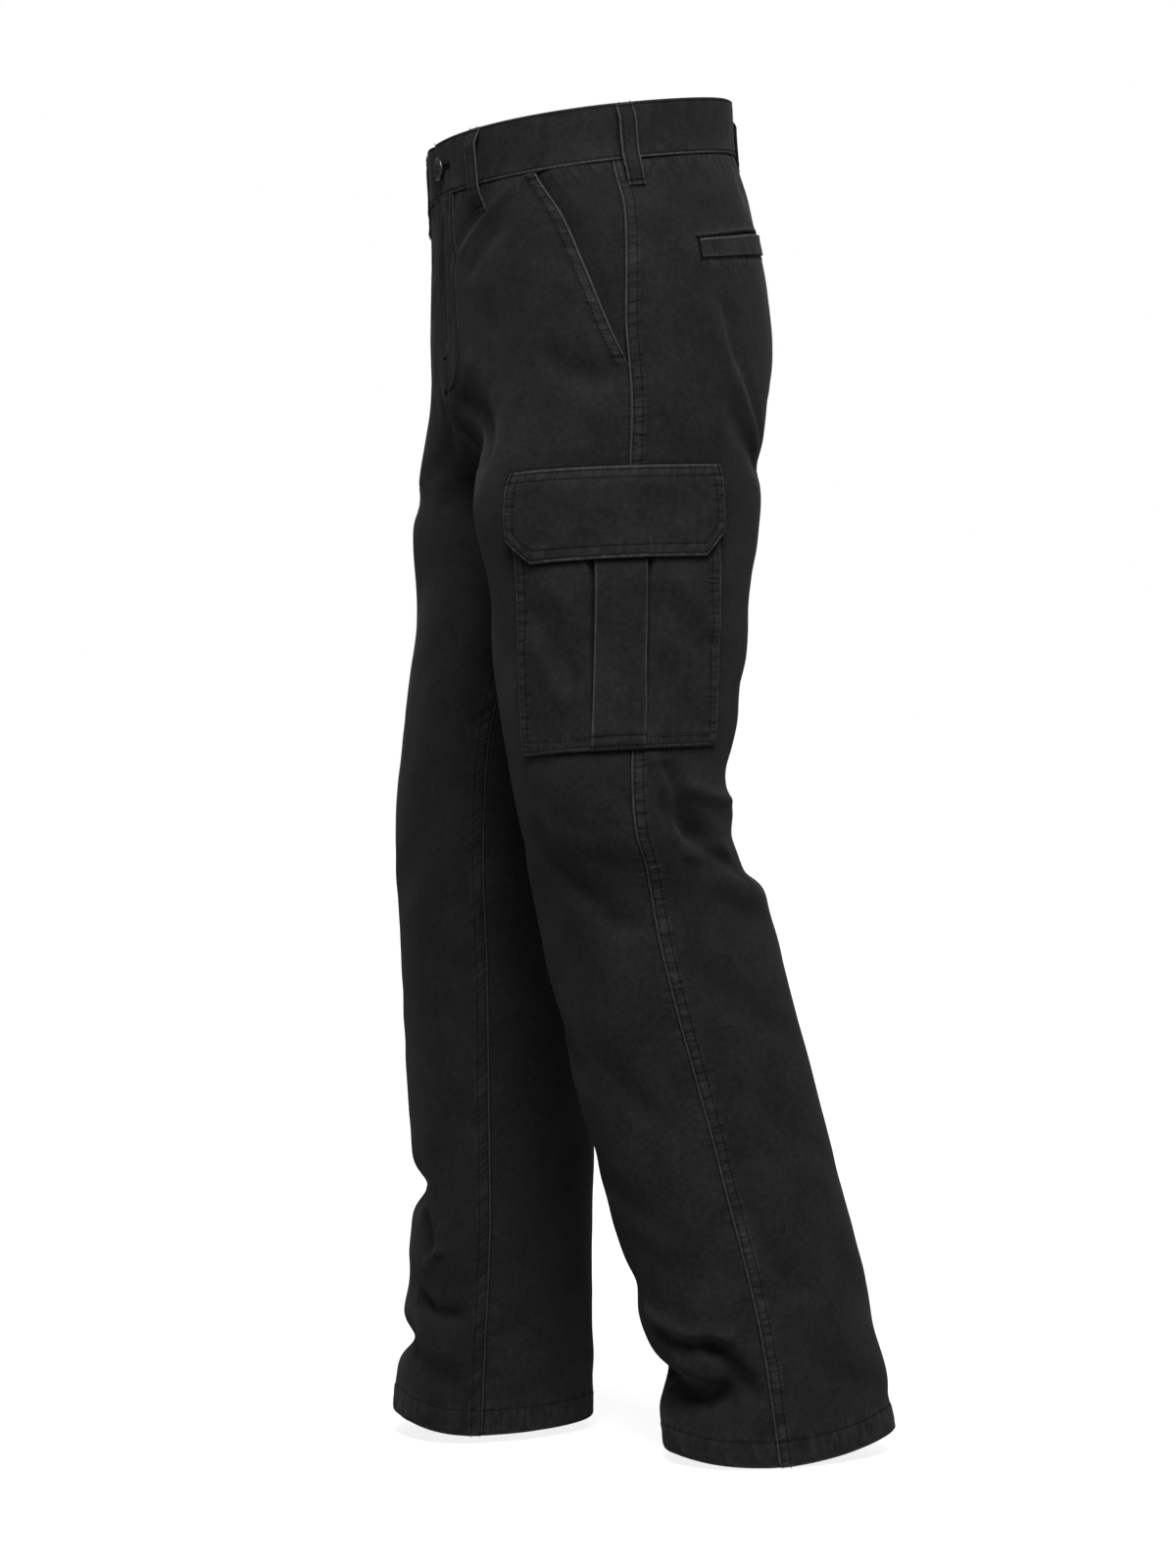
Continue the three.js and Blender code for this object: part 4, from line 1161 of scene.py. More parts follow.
def top_and_hem(cloth, look):
    """The puckers below the waistband's seam, and the hem turned up at the foot."""
    gathers = cloud(cloth.across / 8.0, cloth.down / 40, 45)
    cloth.height += 0.5 * look.pucker * gathers * smooth(0, 3, cloth.down) * smooth(26, 6, cloth.down)
    cloth.mark(cross=smooth(26, 5, cloth.down) * smooth(0.5, 2.5, cloth.down))
    # The top edge dips under the band, with painted shade
    cloth.tuck(cloth.down, depth=0.7)
    up = cloth.length - cloth.down
    ladder = cloud(cloth.across / 5.2 + up / 9.0, up / 30, 41) + 0.7 * cloud(cloth.across / 11.0, up / 40, 42)
    cloth.height += 0.6 * smooth(HEM_HIGH + 1.4, HEM_HIGH - 1, up)
    cloth.rows((up,), (HEM_HIGH,), width=1.1)
    cloth.height += 0.5 * look.pucker * ladder * smooth(32, HEM_HIGH, up) * smooth(0, 4, up)
    cloth.pale(up)
    cloth.mark(wear=0.15 * np.clip(ladder, 0, 1) * smooth(HEM_HIGH, HEM_HIGH - 4, up))
    cloth.mark(cross=smooth(34, HEM_HIGH, up) * smooth(0.5, 3, up))


def hip_facing(leg, look):
    """The cloth that shows inside the slanted pocket's mouth, sunk at its front, with painted shade over it.
    """
    rows = steps(BAND_SEAM + TOP_UNDER, MOUTH_FOOT + 1, 2.5)
    sewn = steps(1 - 3 / PANEL_WIDTH, 1 + UNDER_S, UNDER_S / 2)
    grid = []
    for h in rows:
        start = travel(leg, mouth(leg, h), h, -FACING_LAP)
        grid.append(np.concatenate([np.linspace(start, 1 - 4 / PANEL_WIDTH, 30), sewn]))
    cloth = Cloth(leg, np.array(grid), rows[:, None])
    ahead = np.array([mouth(leg, h) for h in rows])[:, None]
    cloth.height -= FACING_DEPTH * (1 - smooth(0, FACING_RISE, (cloth.s - ahead) * PANEL_WIDTH))
    end = cloth.width - cloth.across
    under_seam(cloth, end, 31, 1.0, look)
    cloth.height += 0.6 * cloud(cloth.across / 20, cloth.down / 34, 44) * smooth(0, 16, end)
    cloth.mark(cross=smooth(26, 5, cloth.down))
    cloth.tuck(cloth.down, depth=0.7)
    behind = (cloth.s - ahead) * PANEL_WIDTH
    # Painted shade: a third over all the facing, full just behind the mouth's edge, and more near the top by
    # the mouth
    cloth.mark(dark=0.34 + 0.66 * smooth(3.4, 0.8, behind))
    cloth.mark(dark=0.4 * smooth(16, 4, behind) * smooth(30, 8, cloth.down))
    obj = cloth.build("hip_facing_" + leg + "_cloth", 1.0, material("washed twill", look))
    return finish_cloth(obj, "hip_facing_" + leg)


def waistband(look):
    """One band round the waist. Its right end ducks in under the left end."""
    lap = -BAND_LAP / PANEL_WIDTH
    under = 4 + BAND_UNDER / PANEL_WIDTH
    q = np.linspace(lap, under, 380)[None, :]
    edges = steps(BAND_TOP, BAND_TOP - 5, 0.8), steps(BAND_SEAM + 5, BAND_SEAM + GAP / 2, 0.8)
    h = np.concatenate([edges[0], steps(BAND_TOP - 5, BAND_SEAM + 5, 2.0)[1:-1], edges[1]])
    q, h = np.broadcast_arrays(q, h[:, None])
    cloth = Cloth("left", np.minimum(q, 2), h)
    right_point, right_normal = face("right", np.minimum(4 - q, 2), h)
    over = (q > 2)[..., None]
    cloth.point = np.where(over, right_point, cloth.point)
    cloth.normal = np.where(over, right_normal, cloth.normal)
    cloth.measure()
    ducked = BAND_THICK + GAP
    cloth.height += BAND_PROUD - ducked * smooth(4 + 2.6 * lap, 4 + 1.3 * lap, q)
    foot = cloth.length - cloth.down
    ladder = cloud(cloth.across / 6.5, cloth.down / 50, 51)
    ladder = ladder + 0.7 * cloud(cloth.across / 17, cloth.down / 60, 52)
    cloth.height += 0.36 * look.pucker * ladder * smooth(0, 7, cloth.down) * smooth(0, 7, foot)
    cloth.rows((cloth.down, foot), (BAND_ROW,))
    for distance in (cloth.down, cloth.across):
        cloth.pale(distance, 0.5)
    cloth.pale(foot, reach=2.5)
    cloth.height += 0.5 * cloud(cloth.across / 60, cloth.down / 90, 53)
    cloth.mark(wear=0.08 * np.clip(ladder, 0, 1))
    off_edges = smooth(0.5, 2.5, foot) * smooth(0.5, 2.5, cloth.down)
    cloth.cross = np.maximum(0.12, 0.8 * smooth(13, 3, foot)) * off_edges
    hole = BUTTONHOLE
    slit = smooth(hole.start - 0.6, hole.start, cloth.across) * smooth(hole.end + 0.6, hole.end, cloth.across)
    slit = slit * bump(cloth.down, hole.down, 0.8)
    # The buttonhole's slit sinks, and painted shade fills it
    cloth.height -= 0.7 * slit
    cloth.mark(dark=slit)
    GRIDS["waistband"] = cloth
    under = cloth.height - BAND_THICK + 1.5 * smooth(3.4, 1.4, foot)
    obj = cloth.build("waistband_cloth", BAND_THICK, material("washed twill", look), radius=0.8, under=under)
    return finish_cloth(obj, "waistband")


def fly(look):
    """The fly's topstitched lap, past the centre line on one side and J-shaped on the other."""
    rows = steps(BAND_SEAM - GAP, FLY.foot, 2.0)[:, None]
    down = np.clip((FLY.foot + FLY.curve - rows) / FLY.curve, 0, 1)
    width = FLY.past + (FLY.width - FLY.past) * np.sqrt(1 - 0.96 * down**2)
    parts = np.linspace(0, 0.1, 5), np.linspace(0.1, 0.85, 20)[1:], np.linspace(0.85, 1, 8)[1:]
    share = np.concatenate(parts)
    s = (-FLY.past + (width + FLY.past) * share[None, :]) / PANEL_WIDTH
    cloth = Cloth("left", s, rows)
    end = cloth.width - cloth.across
    cloth.height += 0.45 + 0.75 * smooth(-0.5, 4, end)
    wrinkles = cloud(cloth.across / 5.5, cloth.down / 46, 61)
    cloth.height += 1.1 * wrinkles * smooth(0, 5, cloth.across) * smooth(0, 5, end)
    cloth.rows((end,), (FLY_ROW,))
    cloth.pale(cloth.across)
    cloth.pale(end, 0.4)
    cloth.mark(wear=0.15 * np.clip(wrinkles, 0, 1))
    cloth.cross = 0.6 * smooth(0.5, 3, cloth.across) * smooth(0, 2, end)
    GRIDS["fly"] = cloth
    obj = cloth.build("fly_cloth", 0.75, material("washed twill", look), under=0 * cloth.height + 0.2)
    return finish_cloth(obj, "fly")


def belt_loop(loop, look):
    """A strap over the band, turned under at both ends and tacked down."""
    centre = travel(loop.leg, loop.seam, BAND_TOP, loop.distance)
    here, there = (plain(loop.leg, x, BAND_TOP) for x in (centre, centre + STEP_S))
    backwards = (there[1] - here[1]) / np.linalg.norm(there - here)
    rows = steps(BAND_TOP - 0.5, LOOP_FOOT, 1.4)
    half = np.array([0, 1, 2, 2.5, 4, 4.6, 5, 5.4, 5.9, 6.3, 6.7, 7])
    mm = np.concatenate([-half[:0:-1], half])
    grid = []
    for h in rows:
        middle = travel(loop.leg, centre, h, 0.5 * (BAND_TOP - h) * WAIST_TILT * backwards)
        grid.append(travel(loop.leg, middle, h, mm))
    cloth = Cloth(loop.leg, np.array(grid), rows[:, None])
    share = np.linspace(0, 1, len(rows))[:, None]
    seat = GAP + BAND_PROUD * smooth(BAND_SEAM - 7, BAND_SEAM - 2, rows)[:, None]
    under = seat + loop.stand * smooth(0, 0.22, share) * smooth(1, 0.78, share)
    thick = 1.25 + 0.6 * (smooth(0.12, 0.10, share) + smooth(0.88, 0.90, share))
    sag = 0.35 * cloud(share * 4 + loop.distance, mm[None, :] / 30, 71)
    cloth.height += under + thick + sag
    beside = LOOP_WIDTH / 2 - np.abs(mm)[None, :] + 0 * share
    cloth.rows((beside,), (EDGE_ROW,), depth=0.3)
    cloth.pale(beside, 0.8)
    cloth.pale(cloth.down)
    cloth.pale(cloth.length - cloth.down)
    cloth.rungs = 0.3 + 0 * beside
    GRIDS[loop.name] = cloth
    twill = material("washed twill", look)
    obj = cloth.build(loop.name + "_strap", 1.4, twill, radius=0.8, under=under + sag)
    return finish_cloth(obj, loop.name)


def cargo_stand(across, down):
    """How far the filled-out pocket stands off, at shares of its width and length."""
    ease = smooth(0, 0.25, down + 0.05) * smooth(1.05, 0.9, down)
    return CARGO.stand * np.sin(math.pi * np.clip(across, 0, 1)) ** 0.5 * ease


def patch_grid(leg, mm, rows):
    """A patch on the thigh: mm behind the outseam, rows of heights that slope with them."""
    s = np.array([travel(leg, 1, h, mm) for h in rows])
    return s, rows[:, None] + CARGO.slope * mm[None, :]


def dents(cloth, table, x, y, strength=1.0):
    """Presses a table of creases into a patch."""
    for dent in table:
        cloth.height += strength * crease(x, y, dent.x0, dent.y0, dent.x1, dent.y1, dent.depth, dent.width)


def cargo_shares(mm, rows):
    """Shares of the way across and down the cargo pocket."""
    across = (mm[None, :] - CARGO.start) / (CARGO.end - CARGO.start)
    return across, (CARGO.top - rows[:, None]) / (CARGO.top - CARGO.foot)


def under_flap(mm, h):
    """How far the cloth is in the flap's shade, just below its free edge."""
    inside = np.minimum(mm - FLAP.start, FLAP.end - mm)
    cut = FLAP.corner * FLAP_STEEP * np.clip(1 - inside / FLAP.corner, 0, 1)
    below = FLAP.foot + cut + CARGO.slope * mm - h
    return 0.9 * smooth(6.0, 0.5, below)


def cargo_pocket(leg, look):
    """The patch over the outseam, with the two pleats beside its raised strip."""
    near = steps(0, 13, 0.9)
    middle = np.linspace(CARGO.start + 13, CARGO.end - 13, 88)[1:-1]
    mm = np.concatenate([CARGO.start + near, middle, CARGO.end - near[::-1]])
    turned_up = CARGO.foot + 14
    rows = np.concatenate([steps(CARGO.top, turned_up, 2.6), steps(turned_up, CARGO.foot, 0.9)[1:]])
    cloth = Cloth(leg, *patch_grid(leg, mm, rows))
    across, down = cargo_shares(mm, rows)
    end, foot = cloth.width - cloth.across, cloth.length - cloth.down
    cloth.height += POCKET_UP + cargo_stand(across, down)
    pressed = smooth(11, 9, cloth.across) + smooth(11, 9, end) + smooth(12, 10, foot)
    cloth.height += 0.25 * np.clip(pressed, 0, 1)
    edges = (cloth.across, cloth.down, 81), (end, cloth.down, 82), (foot, cloth.across, 83)
    for distance, along, seed in edges:
        ladder = cloud(along / 6.0, distance / 40, seed)
        cloth.height += 0.3 * look.pucker * ladder * smooth(0, 3, distance) * smooth(18, 9, distance)
        cloth.rows((distance,), (EDGE_ROW, CARGO_ROW))
        cloth.pale(distance, reach=2.5)
        cloth.mark(wear=0.12 * np.clip(ladder, 0, 1) * smooth(10, 8, distance))
        drawn = smooth(0.5, 3, distance) * smooth(20, 8, distance)
        if distance is foot:
            cloth.mark(cross=drawn)
        else:
            cloth.mark(rungs=drawn)
    dents(cloth, POCKET_DENTS, mm[None, :], cloth.down)
    # Painted shade along the trough on the pocket's front part
    shaded = crease(mm[None, :], cloth.down, -80, 84, -38, 160, 1.0, 20)
    cloth.mark(dark=0.24 * shaded)
    out = np.maximum(PLEAT.start - mm, mm - PLEAT.end)[None, :]
    # The gaps beside the raised strip sink, and painted shade fills them
    gape = smooth(6.4 - 5.4 * down, 3.2 - 3.0 * down, out) * smooth(-2, 0, out) * smooth(1.04, 0.8, down)
    cloth.height -= 2.4 * gape
    cloth.mark(dark=gape)
    cloth.height += 0.5 * bump(out, 7.2, 1.6) * smooth(1.0, 0.45, down)
    cloth.mark(dark=under_flap(mm[None, :], cloth.h))
    name = "cargo_pocket_" + leg
    GRIDS[name] = cloth
    under = np.minimum(GAP, cloth.height - 0.9)
    obj = cloth.build(name + "_cloth", 1.6, material("pocket twill", look), radius=0.8, under=under)
    return finish_cloth(obj, name)


def cargo_pleat(leg, look):
    """The raised strip between the two pleats."""
    near = np.array([0, 0.4, 0.9, 1.4, 1.9, 2.5, 3.4, 4.5])
    middle = np.linspace(PLEAT.start + 6.5, PLEAT.end - 6.5, 11)
    mm = np.concatenate([PLEAT.start + near, middle, PLEAT.end - near[::-1]])
    rows = steps(CARGO.top, CARGO.foot + 0.6, 2.5)
    cloth = Cloth(leg, *patch_grid(leg, mm, rows))
    across, down = cargo_shares(mm, rows)
    end = cloth.width - cloth.across
    cloth.height += PLEAT_UP + cargo_stand(across, down)
    foot = cloth.length - cloth.down
    cloth.rows((foot,), (EDGE_ROW, CARGO_ROW))
    for distance in (cloth.across, end, foot):
        cloth.pale(distance, 0.6)
    dents(cloth, POCKET_DENTS, mm[None, :], cloth.down, 0.7)
    cloth.height += 0.6 * cloud(cloth.across / 14, cloth.down / 26, 84)
    cloth.cross = 0.8 * smooth(24, 12, foot)
    cloth.mark(dark=under_flap(mm[None, :], cloth.h))
    GRIDS["cargo_pleat_" + leg] = cloth
    obj = cloth.build(f"cargo_pleat_{leg}_cloth", 1.1, material("pocket twill", look))
    return finish_cloth(obj, "cargo_pleat_" + leg)


def cargo_flap(leg, look):
    """The flap is sewn down along its top and lies over the pocket. Its lower corners are cut off."""
    wide = FLAP.end - FLAP.start
    corner = FLAP.corner / wide
    ends = np.linspace(0, corner, 20)
    share = np.concatenate([ends, np.linspace(corner, 1 - corner, 60)[1:-1], 1 - ends[::-1]])
    mm = FLAP.start + wide * share
    inside = np.clip(corner - np.minimum(share, 1 - share), 0, None) / corner
    cut = FLAP.corner * FLAP_STEEP * inside
    parts = steps(0, 0.17, 0.014), steps(0.17, 0.8, 0.03)[1:], steps(0.8, 1, 0.013)[1:]
    down = np.concatenate(parts)[:, None]
    s = travel(leg, 1, (FLAP.top + FLAP.foot) / 2, mm)[None, :]
    h = CARGO.slope * mm[None, :] + FLAP.top + (FLAP.foot + cut[None, :] - FLAP.top) * down
    cloth = Cloth(leg, s, h)
    across = (mm[None, :] - CARGO.start) / (CARGO.end - CARGO.start)
    pleat = smooth(PLEAT.start - 9, PLEAT.start - 3, mm) * smooth(PLEAT.end + 9, PLEAT.end + 3, mm)
    lift = FLAP_OVER + cargo_stand(across, 0.3) + FLAP_OVER_PLEAT * pleat[None, :]
    foot, side = cloth.length - cloth.down, np.minimum(cloth.across, cloth.width - cloth.across)
    cloth.height += FLAP_SEAM_UP + lift * smooth(-0.1, 0.25, down)
    # At a cut corner the foot of a column is the slanting edge, which lies nearer than straight down
    in_corner = smooth(FLAP.corner + 4, FLAP.corner - 4, side)
    free = np.minimum(foot * (1 - (1 - CORNER_COS) * in_corner), side)
    ladder = cloud(cloth.across / 6.0, foot / 40, 91)
    cloth.height += 0.3 * look.pucker * ladder * smooth(0, 3, free) * smooth(20, 10, free)
    cloth.rows((free,), (EDGE_ROW, WIDE_ROW))
    cloth.rows((cloth.down,), (EDGE_ROW, FLAP_ROW))
    gathers = cloud(cloth.across / 5.5, cloth.down / 30, 92)
    cloth.height += 0.3 * look.pucker * gathers * smooth(16, 6, cloth.down)
    cloth.pale(free, reach=2.6)
    cloth.pale(cloth.down, 0.7)
    cloth.mark(wear=0.12 * np.clip(ladder, 0, 1) * smooth(12, 8, free))
    cloth.cross = np.maximum(smooth(18, 6, foot) * smooth(0.5, 3, foot), smooth(18, 6, cloth.down))
    cloth.rungs = smooth(18, 6, side) * smooth(0.5, 3, side)
    dents(cloth, FLAP_DENTS, mm[None, :], cloth.down)
    GRIDS["cargo_flap_" + leg] = cloth
    obj = cloth.build(f"cargo_flap_{leg}_cloth", 1.7, material("pocket twill", look), radius=0.85)
    return finish_cloth(obj, "cargo_flap_" + leg)


def back_welt(leg, look):
    """A strip let into the back below its pocket's opening."""
    mm = WELT.start + steps(0, WELT.length, 2.2)
    share = (mm - WELT.start) / WELT.length
    rows = np.array([0, 0.5, 1.2, 2, 3.5, 5.5, 8, 10, 11.5, 12.6, 13.4, 14.0])[:, None]
    s = travel(leg, 1, WELT.top, mm)[None, :]
    cloth = Cloth(leg, s, WELT.top + WELT.climb * share[None, :] - rows)
    cloth.height += WELT_UP + 0.5 * smooth(5, 0, cloth.down)
    cloth.height += 0.3 * look.pucker * cloud(cloth.across / 7, cloth.down / 30, 95)
    cloth.pale(cloth.down)
    cloth.pale(cloth.length - cloth.down, 0.6)
    cloth.cross = 0.9 + 0 * cloth.wear
    obj = cloth.build(f"back_welt_{leg}_cloth", 1.2, material("washed twill", look))
    return finish_cloth(obj, "back_welt_" + leg)


def turned(name, profile, count):
    """A solid turned about the Z axis. The profile is radii and heights, from its foot to its top."""
    rings = profile[1:-1]
    angles = np.arange(count) * 2 * math.pi / count
    points = [(r * math.cos(a), r * math.sin(a), z) for r, z in rings for a in angles]
    foot, top = len(points), len(points) + 1
    points += [(0.0, 0.0, profile[0][1]), (0.0, 0.0, profile[-1][1])]
    faces = []
    last = (len(rings) - 1) * count
    for k in range(count):
        n = (k + 1) % count
        faces += [(i + k, i + n, i + count + n, i + count + k) for i in range(0, last, count)]
        faces += [(foot, n, k), (top, last + k, last + n)]
    mesh = bpy.data.meshes.new(name)
    mesh.from_pydata((np.array(points) * MM).tolist(), [], faces)
    return linked(name, mesh)


def button(look):
    """A sew-through button: turned rim, sunk middle, four drilled holes and the thread through them."""
    radius, thick, spread = BUTTON.radius, BUTTON.thick, BUTTON.spread
    inside = radius - BUTTON.rim
    profile = (
        (0.0, 0.0),
        (radius - 1.4, 0.0),
        (radius - 0.5, 0.35),
        (radius, 1.2),
        (radius, thick - 1.1),
        (radius - 0.35, thick - 0.3),
        (radius - 0.9, thick),
        (inside, thick - 0.1),
        (inside - 0.9, thick - 1.0),
        (inside - 2.4, thick - 1.25),
        (0.0, thick - 1.2),
    )
    disc = turned("button_disc", profile, 48)
    drills = []
    for x, y in ((1, 1), (1, -1), (-1, 1), (-1, -1)):
        drill = turned("drill", ((0, -2), (BUTTON.hole, -2), (BUTTON.hole, 6), (0, 6)), 16)
        drill.data.transform(Matrix.Translation((x * spread * MM, y * spread * MM, 0)))
        drills.append(drill)
        cut = disc.modifiers.new("Drilled", "BOOLEAN")
        cut.operation = "DIFFERENCE"
        cut.solver = "EXACT"
        cut.object = drill
    made = baked(disc)
    for drill in drills:
        bpy.data.objects.remove(drill)
    point, normal = face("left", BUTTON.side / PANEL_WIDTH, 0.0)
    seat = point + normal * (BAND_PROUD + BUTTON_SHANK)
    right = unit(np.cross((0.0, 0.0, 1.0), normal))
    axes = np.stack([right, np.cross(normal, right), normal])
    co = np.zeros(len(made.vertices) * 3)
    made.vertices.foreach_get("co", co)
    made.vertices.foreach_set("co", (seat * MM + co.reshape(-1, 3) @ axes).ravel())
    made.materials.clear()
    made.materials.append(material("dark horn", look))
    made.shade_smooth()
    finish_piece(linked("waist_button", made), ["button"])
    rows = []
    for y in (-spread, spread):
        line = np.array([[x, y, thick - 0.9] for x in np.linspace(-spread, spread, 4)])
        rows.append((seat + line @ axes, np.repeat(normal[None, :], 4, 0)))
    sew("button_thread", rows, look, pitch=0.0012, along=0.0019, across=0.0008)


# Rows of stitches, piece by piece


def seam_stitches(look):
    """Topstitching of the panels, piece by piece."""
    for leg in LEGS:
        front, back = GRIDS["front_" + leg], GRIDS["back_" + leg]
        first = int(np.searchsorted(-front.h[:, 0], -(FLY.foot + 4 if leg == "left" else CROTCH)))
        foot = int(np.searchsorted(-front.h[:, 0], -MOUTH_FOOT))
        rows = [front.lengthways(EDGE_ROW, first), front.lengthways(WIDE_ROW, first)]
        rows += [front.lengthways(-EDGE_ROW, 0, foot), front.lengthways(-WIDE_ROW, 0, foot + 1)]
        rows += [front.crossways(-HEM_HIGH)]
        sew(f"stitches_front_{leg}", rows, look)
        rows = [back.lengthways(EDGE_ROW), back.lengthways(WIDE_ROW), back.crossways(-HEM_HIGH)]
        if leg == "left":
            last = int(np.searchsorted(-back.h[:, 0], -CROTCH))
            rows += [back.lengthways(-EDGE_ROW, 0, last), back.lengthways(-WIDE_ROW, 0, last)]
        sew(f"stitches_back_{leg}", rows, look)


def band_stitches(look):
    """Topstitching of the waistband and the fly, and the buttonhole's edges and bar."""
    band, lap = GRIDS["waistband"], GRIDS["fly"]
    rows = [band.crossways(BAND_ROW), band.crossways(-BAND_ROW), band.lengthways(BAND_ROW)]
    rows += [lap.lengthways(-FLY_ROW), lap.lengthways(1.5)]
    sew("stitches_waistband_and_fly", rows, look)
    hole = BUTTONHOLE
    sides = [[(hole.start, hole.down + off), (hole.end, hole.down + off)] for off in (-1.5, 1.5)]
    bar = [(hole.end + 0.9, hole.down - 2.2), (hole.end + 0.9, hole.down + 2.2)]
    rows = [on_cloth(band, dense(np.array(line), 0.5)) for line in (*sides, bar)]
    sew("buttonhole", rows, look, pitch=0.0007, along=0.0006, across=0.0022)


def loop_stitches(look):
    """Topstitching of the belt loops, and the bar tacks at their ends."""
    rows, tacks = [], []
    for loop in LOOPS:
        strap = GRIDS[loop.name]
        rows += [strap.lengthways(EDGE_ROW), strap.lengthways(-EDGE_ROW)]
        last, wide = strap.s.shape[0] - 1, strap.s.shape[1] - 1
        for row in (2.0, last - 2.5):
            tacks.append(strap.at(np.full(9, float(row)), np.linspace(1.5, wide - 1.5, 9)))
    sew("stitches_belt_loops", rows, look)
    sew("bar_tacks_belt_loops", tacks, look, across=0.0026, **TACK)


def pocket_tacks(look):
    """Bar tacks where the front pocket's mouth, the fly and the back welt take the strain."""
    tacks = []
    for leg in LEGS:
        front, back = GRIDS["front_" + leg], GRIDS["back_" + leg]
        for h in (BAND_SEAM - 5, MOUTH_FOOT + 6):
            row = np.interp(-h, -front.h[:, 0], np.arange(front.s.shape[0]))
            end = front.width[int(row), 0]
            places = end - np.linspace(1.0, 10.0, 10)
            columns = np.interp(places, front.across[int(row)], np.arange(front.s.shape[1]))
            tacks.append(front.at(np.full(10, row), columns))
        for x in (WELT.start, WELT.start + WELT.length):
            base = WELT.top + WELT.climb * (x - WELT.start) / WELT.length
            s = np.full(10, travel(leg, 1, WELT.top, x))
            tacks.append(panel_line(back, s, np.linspace(base + 1.5, base - WELT.height - 1.5, 10)))
    lap = GRIDS["fly"]
    for y in (lap.length[0, -1] - FLY.curve - 4, lap.length[0, -1] - 4):
        tacks.append(on_cloth(lap, np.stack([np.linspace(2, 8, 8), np.full(8, y)], 1)))
    sew("bar_tacks_pockets_and_fly", tacks, look, across=0.0024, **TACK)


def inset(points, distance):
    """A chain of corners moved in to its right-hand side by a distance."""
    points = np.array(points, float)
    moved = []
    for k in range(len(points)):
        before, after = points[max(k - 1, 0)], points[min(k + 1, len(points) - 1)]
        d1, d2 = unit(points[k] - before), unit(after - points[k])
        d1 = d2 if k == 0 else d1
        d2 = d1 if k == len(points) - 1 else d2
        n1, n2 = np.array([-d1[1], d1[0]]), np.array([-d2[1], d2[0]])
        way = unit(n1 + n2)
        moved.append(points[k] + way * distance / max(way @ n1, 0.3))
    return np.array(moved)


def dense(points, step=1.5):
    """A chain of corners with points along its lines."""
    chain = []
    for a, b in zip(points[:-1], points[1:]):
        count = max(2, int(np.linalg.norm(b - a) / step))
        chain.extend(a + (b - a) * t for t in np.linspace(0, 1, count, endpoint=False))
    chain.append(points[-1])
    return np.array(chain)


def on_cloth(cloth, chain):
    """Millimetres across and down a patch, as places on it."""
    columns = np.interp(chain[:, 0], cloth.across[0], np.arange(cloth.s.shape[1]))
    nearest = np.clip(np.round(columns).astype(int), 0, cloth.s.shape[1] - 1)
    rows = [np.interp(y, cloth.down[:, j], np.arange(cloth.s.shape[0])) for y, j in zip(chain[:, 1], nearest)]
    return cloth.at(np.array(rows), columns)


def cargo_stitches(look):
    """Topstitching of the cargo pockets and flaps, and the flaps' bar tacks."""
    for leg in LEGS:
        pocket, pleat, flap = (GRIDS[f"cargo_{part}_{leg}"] for part in ("pocket", "pleat", "flap"))
        wide, long = pocket.width[0, 0], pocket.length[0, 0]
        outline = [(0, 50), (0, long), (wide, long), (wide, 50)]
        rows = [on_cloth(pocket, dense(inset(outline, -d))) for d in (EDGE_ROW, CARGO_ROW)]
        rows += [pleat.crossways(-EDGE_ROW), pleat.crossways(-CARGO_ROW)]
        wide, long = flap.width[0, 0], flap.length[0, flap.s.shape[1] // 2]
        corner, high = FLAP.corner, FLAP.corner * FLAP_STEEP
        outline = [(0, 0), (0, long - high), (corner, long)]
        outline += [(wide - corner, long), (wide, long - high), (wide, 0)]
        rows += [on_cloth(flap, dense(inset(outline, -d))) for d in (EDGE_ROW, WIDE_ROW)]
        rows += [flap.crossways(EDGE_ROW), flap.crossways(FLAP_ROW)]
        sew(f"stitches_cargo_pocket_{leg}", rows, look)
        down = np.linspace(1, 9, 8)
        tacks = [on_cloth(flap, np.stack([np.full(8, x), down], 1)) for x in (3.0, wide - 3.0)]
        sew(f"bar_tacks_cargo_flap_{leg}", tacks, look, across=0.003, **TACK)


def welt_stitches(look):
    """The stitched line round each back pocket's opening and strip."""
    for leg in LEGS:
        back = GRIDS["back_" + leg]
        rows = []
        mm = np.linspace(WELT.start - 1.8, WELT.start + WELT.length + 1.8, 90)
        for off in (2.0, -WELT.height - 1.8):
            s = travel(leg, 1, WELT.top, mm)
            h = WELT.top + WELT.climb * (mm - WELT.start) / WELT.length + off
            rows.append(panel_line(back, s, h))
        for x in (WELT.start - 1.8, WELT.start + WELT.length + 1.8):
            s = np.full(14, travel(leg, 1, WELT.top, x))
            base = WELT.top + WELT.climb * (x - WELT.start) / WELT.length
            rows.append(panel_line(back, s, np.linspace(base + 2.0, base - WELT.height - 1.8, 14)))
        sew(f"stitches_back_welt_{leg}", rows, look)


def panel_line(cloth, s, h):
    """Places on a panel by their s and h."""
    rows = np.interp(-h, -cloth.h[:, 0], np.arange(cloth.s.shape[0]))
    nearest = np.clip(np.round(rows).astype(int), 0, cloth.s.shape[0] - 1)
    columns = [np.interp(x, cloth.s[i], np.arange(cloth.s.shape[1])) for x, i in zip(s, nearest)]
    return cloth.at(rows, np.array(columns))


# The add-on


def length(name, description, default):
    return FloatProperty(
        name=name, description=description, default=default, subtype="DISTANCE", unit="LENGTH"
    )


def share(name, description, default, most=1.0):
    return FloatProperty(
        name=name, description=description, default=default, min=0, max=most, subtype="FACTOR"
    )


def tint(name, description, default):
    return FloatVectorProperty(name=name, description=description, default=default, subtype="COLOR")


